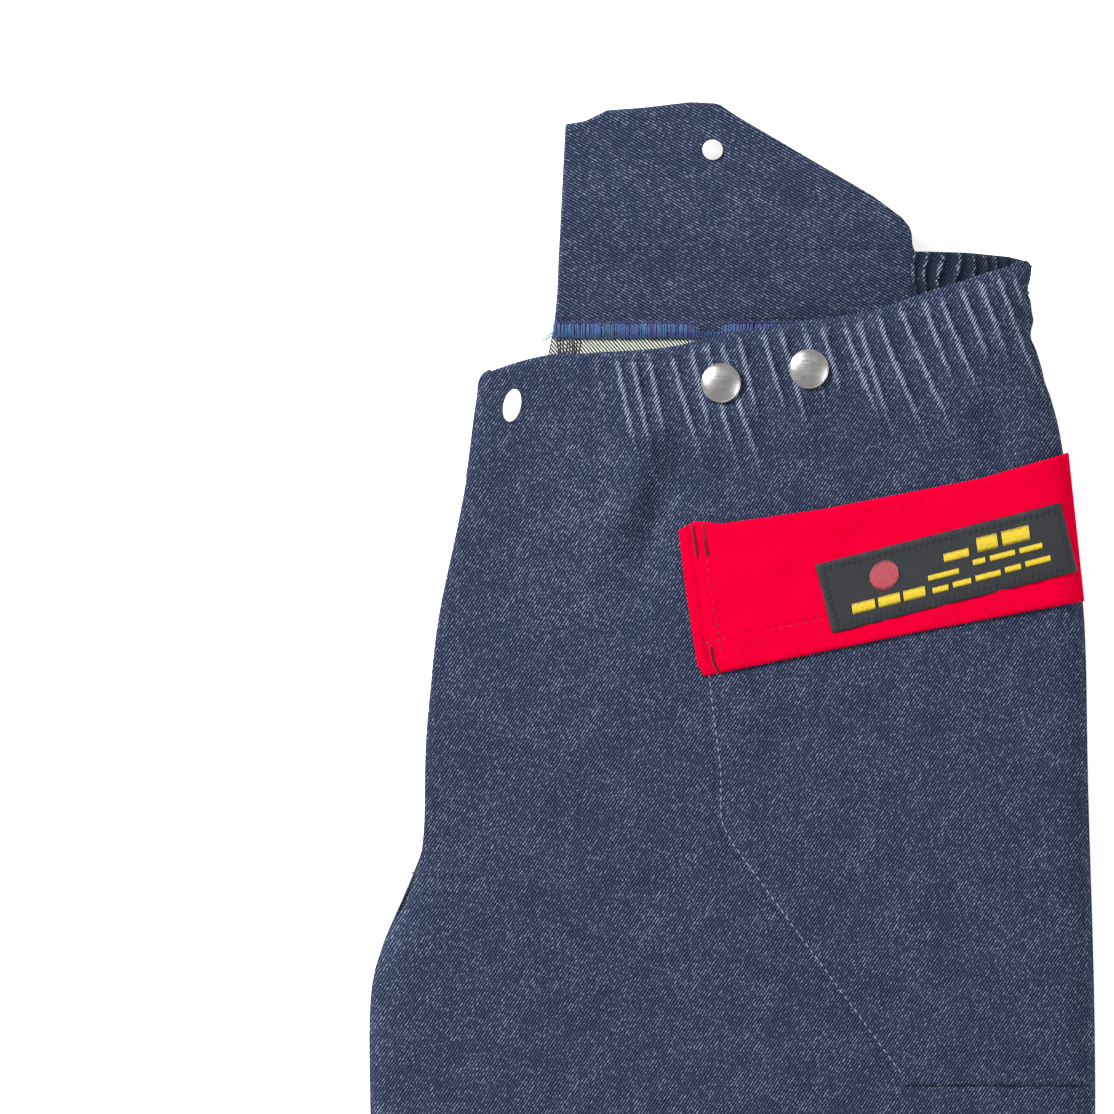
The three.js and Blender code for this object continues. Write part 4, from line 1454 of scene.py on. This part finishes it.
def pocket_stitches(side):
    """A pale row just inside the patch's free edge."""
    node = f"{side}_pocket_patch"
    left, _, bottom, _ = sides_of(outline_of(node), within(node, (0.086, 0.385), (1, 0), (1, 1), (0, 0.893)))
    edge = resample(np.vstack([left[::-1], bottom[1:-1]]), np.linspace(0.14, 0.985, 120))
    edge[:, 1] = soften(edge[:, 1], 3)
    edge[:, 0] = soften(edge[:, 0], 3)
    along = np.gradient(edge, axis=0)
    along /= np.linalg.norm(along, axis=1, keepdims=True)
    row = edge + np.stack([-along[:, 1], along[:, 0]], 1) * 2.1
    threads = Threads()
    threads.stitches(row, lambda x, y: np.minimum(patch_height(x, y), STACK - 0.3), 2.3, 1.2, 0.2, 0.02)
    threads.make(f"{side}_pocket_stitches", PALE_THREAD, on("hips"), "denim", side)


def high_back_stitches(side):
    """The raised back's two seams in dark thread."""
    right = high(f"{side}_high_back").x
    dark = Threads()
    for seam in HIGH_BACK_SEAMS:
        row = np.array([[INNER[side, "back"](min(seam, 505)) + 1.5, seam], [right - 1.5, seam + 0.5]])
        dark.stitches(row, lambda x, y: facing_height(x, y, side), 2.1, 1.0, 0.17, -0.1)
    dark.make(f"{side}_high_back_stitches", BLACK_THREAD, bend_high_back, "denim", side)


def facing_height(x, y, side):
    """Upper surface of the raised back's facing."""
    return back_height(x, y, side) + 1.2


LOOP_STEP = 0.46
LOOP_THICK = 0.23


def overlock(side, start, foot):
    """The facing's lower edge overlocked in two colours, with loose tails at its inner end."""
    right = high(f"{side}_high_back").x
    height = lambda x, y: facing_height(x, y, side)
    loops = {BLUE_THREAD: Threads(), VIOLET_THREAD: Threads()}
    for x in np.arange(start, right, LOOP_STEP):
        share = (x - start) / 60
        colour = VIOLET_THREAD if RANDOM.random() < 0.06 + 0.35 * share else BLUE_THREAD
        lean, sway = RANDOM.uniform(-0.5, 0.8), RANDOM.uniform(-0.35, 0.35)
        ys = foot + np.array([-1.8, -1.5, 1.2, 4.0, 4.9]) + sway
        xs = x + lean * np.linspace(0, 1, 5)
        z = height(xs, ys) + np.array([-1.3, 0.1, 0.3, 0.25, -0.05])
        loops[colour].add(np.column_stack([xs, ys, z]), LOOP_THICK, 5)
    run = np.linspace(start + 1, right, 90)
    row = np.column_stack([run, np.full(90, foot + 5.1)])
    loops[VIOLET_THREAD].zigzag(row, height, 0.5, 1.6, 0.22, 0.2)
    for lift, reach in ((0.4, -4.5), (0.1, -3.2), (-0.6, -5.4)):
        root, end = (start + 1.5, foot + 1 + lift), (start + reach, foot - 3 + lift)
        tail = bezier(root, (start - 2, foot + 2 * lift), end, 10)
        z = float(height(np.array(start + 3.0), np.array(foot))) + 0.2
        loops[BLUE_THREAD].add(np.column_stack([tail, np.linspace(z, z - 1.5, 10)]), 0.16, 5)
    return loops


def seam_tacks(side, start, foot):
    """Short dark threads across the back seam's allowance below the facing."""
    tacks = Threads()
    for x in np.arange(start + 2.0, start + 11.5, 1.15):
        ys = foot - np.array([1.0, 4.0, 8.0, 11.0])
        xs = x + RANDOM.uniform(-0.5, 0.5, 4)
        tacks.add(np.column_stack([xs, ys, back_height(xs, ys, side) + 0.12]), 0.26, 5)
    tacks.make(f"{side}_back_seam_threads", BLACK_THREAD, on("hips"), "denim", side)


def high_back_threads(side):
    """Every thread on the raised back and its facing."""
    foot = low(f"{side}_back_waist_facing").y - 1.5
    start = INNER[side, "back"](foot)
    high_back_stitches(side)
    loops = overlock(side, start, foot)
    seam_tacks(side, start, foot)
    for colour, name in ((BLUE_THREAD, "blue"), (VIOLET_THREAD, "violet")):
        loops[colour].make(f"{side}_overlock_{name}", colour, on("hips"), "denim", side)


def cuff_stitches(side):
    """The row that holds the cuff's hem."""
    low_x, high_x = low(f"{side}_cuff_hem").x + 12, high(f"{side}_cuff_hem").x - 12
    threads = Threads()
    row = [(low_x, CUFF_TOP - 3), (high_x, CUFF_TOP - 3)]
    threads.stitches(row, lambda x, y: np.full_like(x, FRONT_TOP + 1.3), 2.6, 1.2, 0.2, 0.05)
    threads.make(f"{side}_cuff_stitches", PALE_THREAD, on("shins"), "denim", side)


# ---------- fly and zip ----------
FLY_SEAM = 0.45       # gap between the front cloth and its facing
TAPE_DEPTH = 1.9      # from the front cloth's underside down to the zip's tape, and to its teeth
TEETH_DEPTH = 3.1


def fly():
    """The folded corner's facing and its zip tape, under the front cloth."""
    below = lambda depth: lambda x, y: front_height(x, y) - DENIM_THICK - depth
    plan = panel_plan("left_fly_facing", ((0, 0), (0.06, 0), (1, 1), (0.36, 0.93)), 1.7, 1.2)
    piece = cloth("fly_lining", plan, below(FLY_SEAM), 0.8, (FACE, FACE), hole=BUTTONHOLE)
    finish_piece(piece, on("left_fly"), "denim", "left_fly_facing")
    declare(piece)
    plan = panel_plan("left_zip_tape", CORNERS, 1.5, 0.8)
    piece = cloth("fly_tape", plan, below(TAPE_DEPTH), 0.8, (TAPE, TAPE))
    finish_piece(piece, on("left_fly"), "zip_tape", "left_zip_tape")
    declare(piece, flat=(10, 79))
    teeth = Threads()
    for x, y in resample(plan[:, 1], np.linspace(0.03, 0.97, 38)):
        z = float(below(TEETH_DEPTH)(np.array(x), np.array(y)))
        teeth.add([(x - 1.6, y, z), (x - 0.8, y, z), (x + 0.6, y, z), (x + 1.2, y, z)], 0.5, 6)
    teeth.make("fly_zip_teeth", BRASS, on("left_fly"), "brass")


ZIP_TAIL = 14.0     # from the lower end of the tape to the slider at rest
TOOTH_STEP = 2.1


def right_zip():
    """The right half's tape and teeth, and the slider that runs along them."""
    node = "right_zip_tape"
    plan = panel_plan(node, ((0, 0.02), (0.2, 0), (1, 0.98), (0.8, 1)), 1.5, 0.8)
    tape_top = np.full(plan.shape[:2], STACK - low(node).z - 1.15)
    piece = cloth("right_tape", plan, tape_top, 0.8, (TAPE, TAPE), "right")
    finish_piece(piece, on("hips"), "zip_tape", node)
    declare(piece, flat=(10, 133))
    strip = StripPlace(node)
    axis, side = strip.right, strip.up
    start = strip.centre - axis * (strip.long / 2 - ZIP_TAIL)
    z = high(node).z + 0.15
    teeth = Threads()
    for step in np.arange(4 - ZIP_TAIL, strip.long - ZIP_TAIL - 3, TOOTH_STEP):
        spots = [start + axis * step + side * shift for shift in (-1.5, -0.9, 0.9, 1.5)]
        teeth.add(np.column_stack([np.array(spots), np.full(4, z)]), 0.42, 6)
    teeth.make("right_zip_teeth", BRASS, on("hips"), "brass")
    slider(start, axis, side)


def rounded_plate(outline, foot, top, bevel):
    """Points and faces of a plate with softened edges, from an anticlockwise outline round its middle."""
    outline = np.asarray(outline, float)
    middle = outline.mean(axis=0)
    shrink = 1 - bevel * 2 / np.ptp(outline, axis=0).max()
    rings = [(shrink, foot), (1, foot + bevel), (1, top - bevel), (shrink, top)]
    points = [(*(middle + (spot - middle) * size), z) for size, z in rings for spot in outline]
    count = len(outline)
    faces = []
    for k in range(len(rings) - 1):
        for i in range(count):
            j = (i + 1) % count
            faces.append((k * count + i, k * count + j, (k + 1) * count + j, (k + 1) * count + i))
    faces.append(tuple(range(count))[::-1])
    faces.append(tuple(range((len(rings) - 1) * count, len(rings) * count)))
    return points, faces


def slider(start, axis, side):
    """A shield-shaped body in two plates joined by a post, a bridge, and a pull tab with rounded ends."""
    foot, top = low("zip_slider").z, high("zip_slider").z
    frame_place = lambda outline: np.array([start + side * -x + axis * y for x, y in outline])
    shield = [(-2.4, -4.8), (2.4, -4.8), (4.4, -1.5), (4.7, 3),
              (2.2, 5.6), (-2.2, 5.6), (-4.7, 3), (-4.4, -1.5)]
    turns = np.linspace(0, math.pi, 7)
    tab = [(2.9 * math.cos(t + math.pi), 10.5 + 2.2 * math.sin(t + math.pi)) for t in turns]
    tab += [(2.9 * math.cos(t), 19.5 + 2.2 * math.sin(t)) for t in turns]
    collar = [(-1.2, 3.2), (1.2, 3.2), (1.2, 9.5), (-1.2, 9.5)]
    points, faces = [], []
    plates = ((shield, foot + 0.5, foot + 1.25, 0.25), (shield, top - 0.75, top, 0.25),
              (tab, top - 1.1, top - 0.2, 0.25), (collar, top - 0.9, top + 0.2, 0.3))
    for outline, z0, z1, bevel in plates:
        some, more = rounded_plate(frame_place(outline), z0, z1, bevel)
        faces += [tuple(index + len(points) for index in face) for face in more]
        points += some
    bridge = Threads()
    arch = np.array([start + axis * y for y in (-3.4, -2.8, 0, 2.8, 3.4)])
    bridge.add(np.column_stack([arch, top + np.array([-0.5, 0.3, 0.9, 0.3, -0.5])]), 0.6, 8)
    faces += [tuple(index + len(points) for index in face) for face in bridge.faces]
    points += bridge.points
    piece = make_object("slider", points, faces, (BRASS,), smooth=False)
    finish_piece(piece, on("zip_slider"), "brass", "zip_slider")


# ---------- buttons ----------
def lathe(name, node, profile, up, material, slot, body):
    """A turned metal piece in a CAD node's place; its profile is shares of the node's radius and height."""
    a, b = low(node), high(node)
    centre = (a + b) / 2
    radius = (b.x - a.x) / 2
    count = 72
    turns = np.linspace(0, math.tau, count, endpoint=False)
    points = []
    for r, h in profile:
        z = a.z + h * (b.z - a.z) if up else b.z - h * (b.z - a.z)
        ring = np.column_stack([centre.x + r * radius * np.cos(turns), centre.y + r * radius * np.sin(turns)])
        points += [(x, y, z) for x, y in ring]
    faces = []
    for k in range(len(profile) - 1):
        for i in range(count):
            j = (i + 1) % count
            faces.append((k * count + i, (k + 1) * count + i, (k + 1) * count + j, k * count + j))
    faces.append(tuple(range(count)))
    faces.append(tuple(range((len(profile) - 1) * count, len(profile) * count))[::-1])
    if not up:
        faces = [face[::-1] for face in faces]
    finish_piece(make_object(name, points, faces, (material,)), on(body), slot, node)


def dome(top, rim, reach, steps=12):
    """Profile points of a shallow crown from its middle to its rim, in shares of radius and height."""
    return [(max(0.004, reach * r), top - (top - rim) * r**2.4) for r in np.linspace(0, 1, steps)]


CAP_PROFILE = dome(1.0, 0.56, 0.90) + [
    (0.915, 0.52), (0.93, 0.53), (0.955, 0.56), (0.98, 0.52), (0.995, 0.42),
    (1.0, 0.30), (0.99, 0.16), (0.965, 0.04),
    (0.93, 0.0), (0.90, 0.0), (0.6, 0.05)]
NAIL_PROFILE = dome(1.0, 0.62, 0.93) + [(0.97, 0.55), (0.995, 0.42), (1.0, 0.30), (0.985, 0.12), (0.94, 0.0),
                                        (0.5, 0.0)]


def nail_profile(node, head):
    """A nail's head takes only part of its node's height; the post takes the rest."""
    share = head / (high(node).z - low(node).z)
    profile = [(r, 1 - (1 - h) * share) for r, h in NAIL_PROFILE[:-1]]
    return profile + [(0.45, 1 - share), (0.38, 1 - share * 1.2), (0.38, 0.05), (0.33, 0.0)]


def buttons():
    """Every button's turned cap and the head of its nail."""
    for side in SIDES:
        outside_up = side == "left"
        for place in ("inner", "outer"):
            button = f"{side}_{place}_button"
            cap, nail = f"{button}_cap", f"{button}_nail"
            lathe(f"{button}_crown", cap, CAP_PROFILE, outside_up, NICKEL, "nickel", cap)
            lathe(f"{nail}_head", nail, nail_profile(nail, 1.0), not outside_up, NICKEL, "nickel", "hips")
        button = f"{side}_high_back_button"
        cap, nail = f"{button}_cap", f"{button}_nail"
        lathe(f"{button}_crown", cap, CAP_PROFILE, not outside_up, NICKEL, "nickel", cap)
        # the raised back's nail head: nickel with painted glare
        lathe(f"{nail}_head", nail, nail_profile(nail, 1.2), outside_up, NICKEL_PAINTED_GLARE, "nickel", "high_back")
    lathe("fly_button_crown", "fly_button_cap", CAP_PROFILE, False, NICKEL, "nickel", "fly_button_cap")
    nail = "fly_button_nail"
    lathe(f"{nail}_head", nail, nail_profile(nail, 0.8), True, NICKEL, "nickel", "hips")


# ---------- putting it together ----------
front_cloth()
for _side in SIDES:
    back_cloth(_side)
    high_back_facing(_side)
    back_casing(_side)
    front_elastic(_side)
    leg_padding(_side)
    seam_allowance(_side, "outseam")
    seam_allowance(_side, "inseam")
    cuff_hem(_side)
    pocket_patch(_side)
    band_stitches(_side, pocket_band(_side))
    pocket_stitches(_side)
    front_seams(_side)
    high_back_threads(_side)
    cuff_stitches(_side)
label()
buttonhole_stitches()
fly()
right_zip()
buttons()


# ---------- camera, light and floor ----------
VIEW_CENTRE = (-74.6, 376.7)
VIEW_WIDTH = 473.5


def add_camera():
    """Straight down over the waist, from far enough away that near and far parts keep one scale."""
    data = bpy.data.cameras.new("camera")
    data.lens = 500
    data.sensor_width = 36
    camera = bpy.data.objects.new("camera", data)
    bpy.context.scene.collection.objects.link(camera)
    distance = VIEW_WIDTH * data.lens / data.sensor_width
    camera.location = Vector((*VIEW_CENTRE, FRONT_TOP + distance)) * MM
    bpy.context.scene.camera = camera


def add_light(name, place, aim, size, power):
    """A round soft light at a place, pointed at another."""
    data = bpy.data.lights.new(name, "AREA")
    data.shape = "DISK"
    data.size = size
    data.energy = power
    light = bpy.data.objects.new(name, data)
    light.location = place
    light.rotation_euler = (Vector(aim) - Vector(place)).to_track_quat("-Z", "Y").to_euler()
    bpy.context.scene.collection.objects.link(light)


def add_studio():
    """A white floor and sky, the main light from the upper left and a weak one from the lower right."""
    world = bpy.data.worlds.new("studio")
    world.use_nodes = True
    world.node_tree.nodes["Background"].inputs[0].default_value = (1, 1, 1, 1)
    world.node_tree.nodes["Background"].inputs[1].default_value = 0.4
    bpy.context.scene.world = world
    centre = (0.0, 0.38, 0.0)
    add_light("key", (-1.5, 1.5, 1.35), centre, 0.8, 74)
    add_light("fill", (2.1, -0.3, 1.3), centre, 1.6, 20)
    floor_size = 12.0
    bpy.ops.mesh.primitive_plane_add(size=floor_size, location=(0, 0, cad_box[0].z - 0.0004))
    floor = bpy.context.object
    floor.name = "floor"
    paper = Nodes("pale_paper", Roughness=0.9, Emission_Color=(1, 1, 1, 1), Emission_Strength=0.62)
    floor.data.materials.append(paper.colour((0.93, 0.93, 0.93, 1)))


add_camera()
add_studio()
bpy.context.scene.view_settings.view_transform = "Standard"
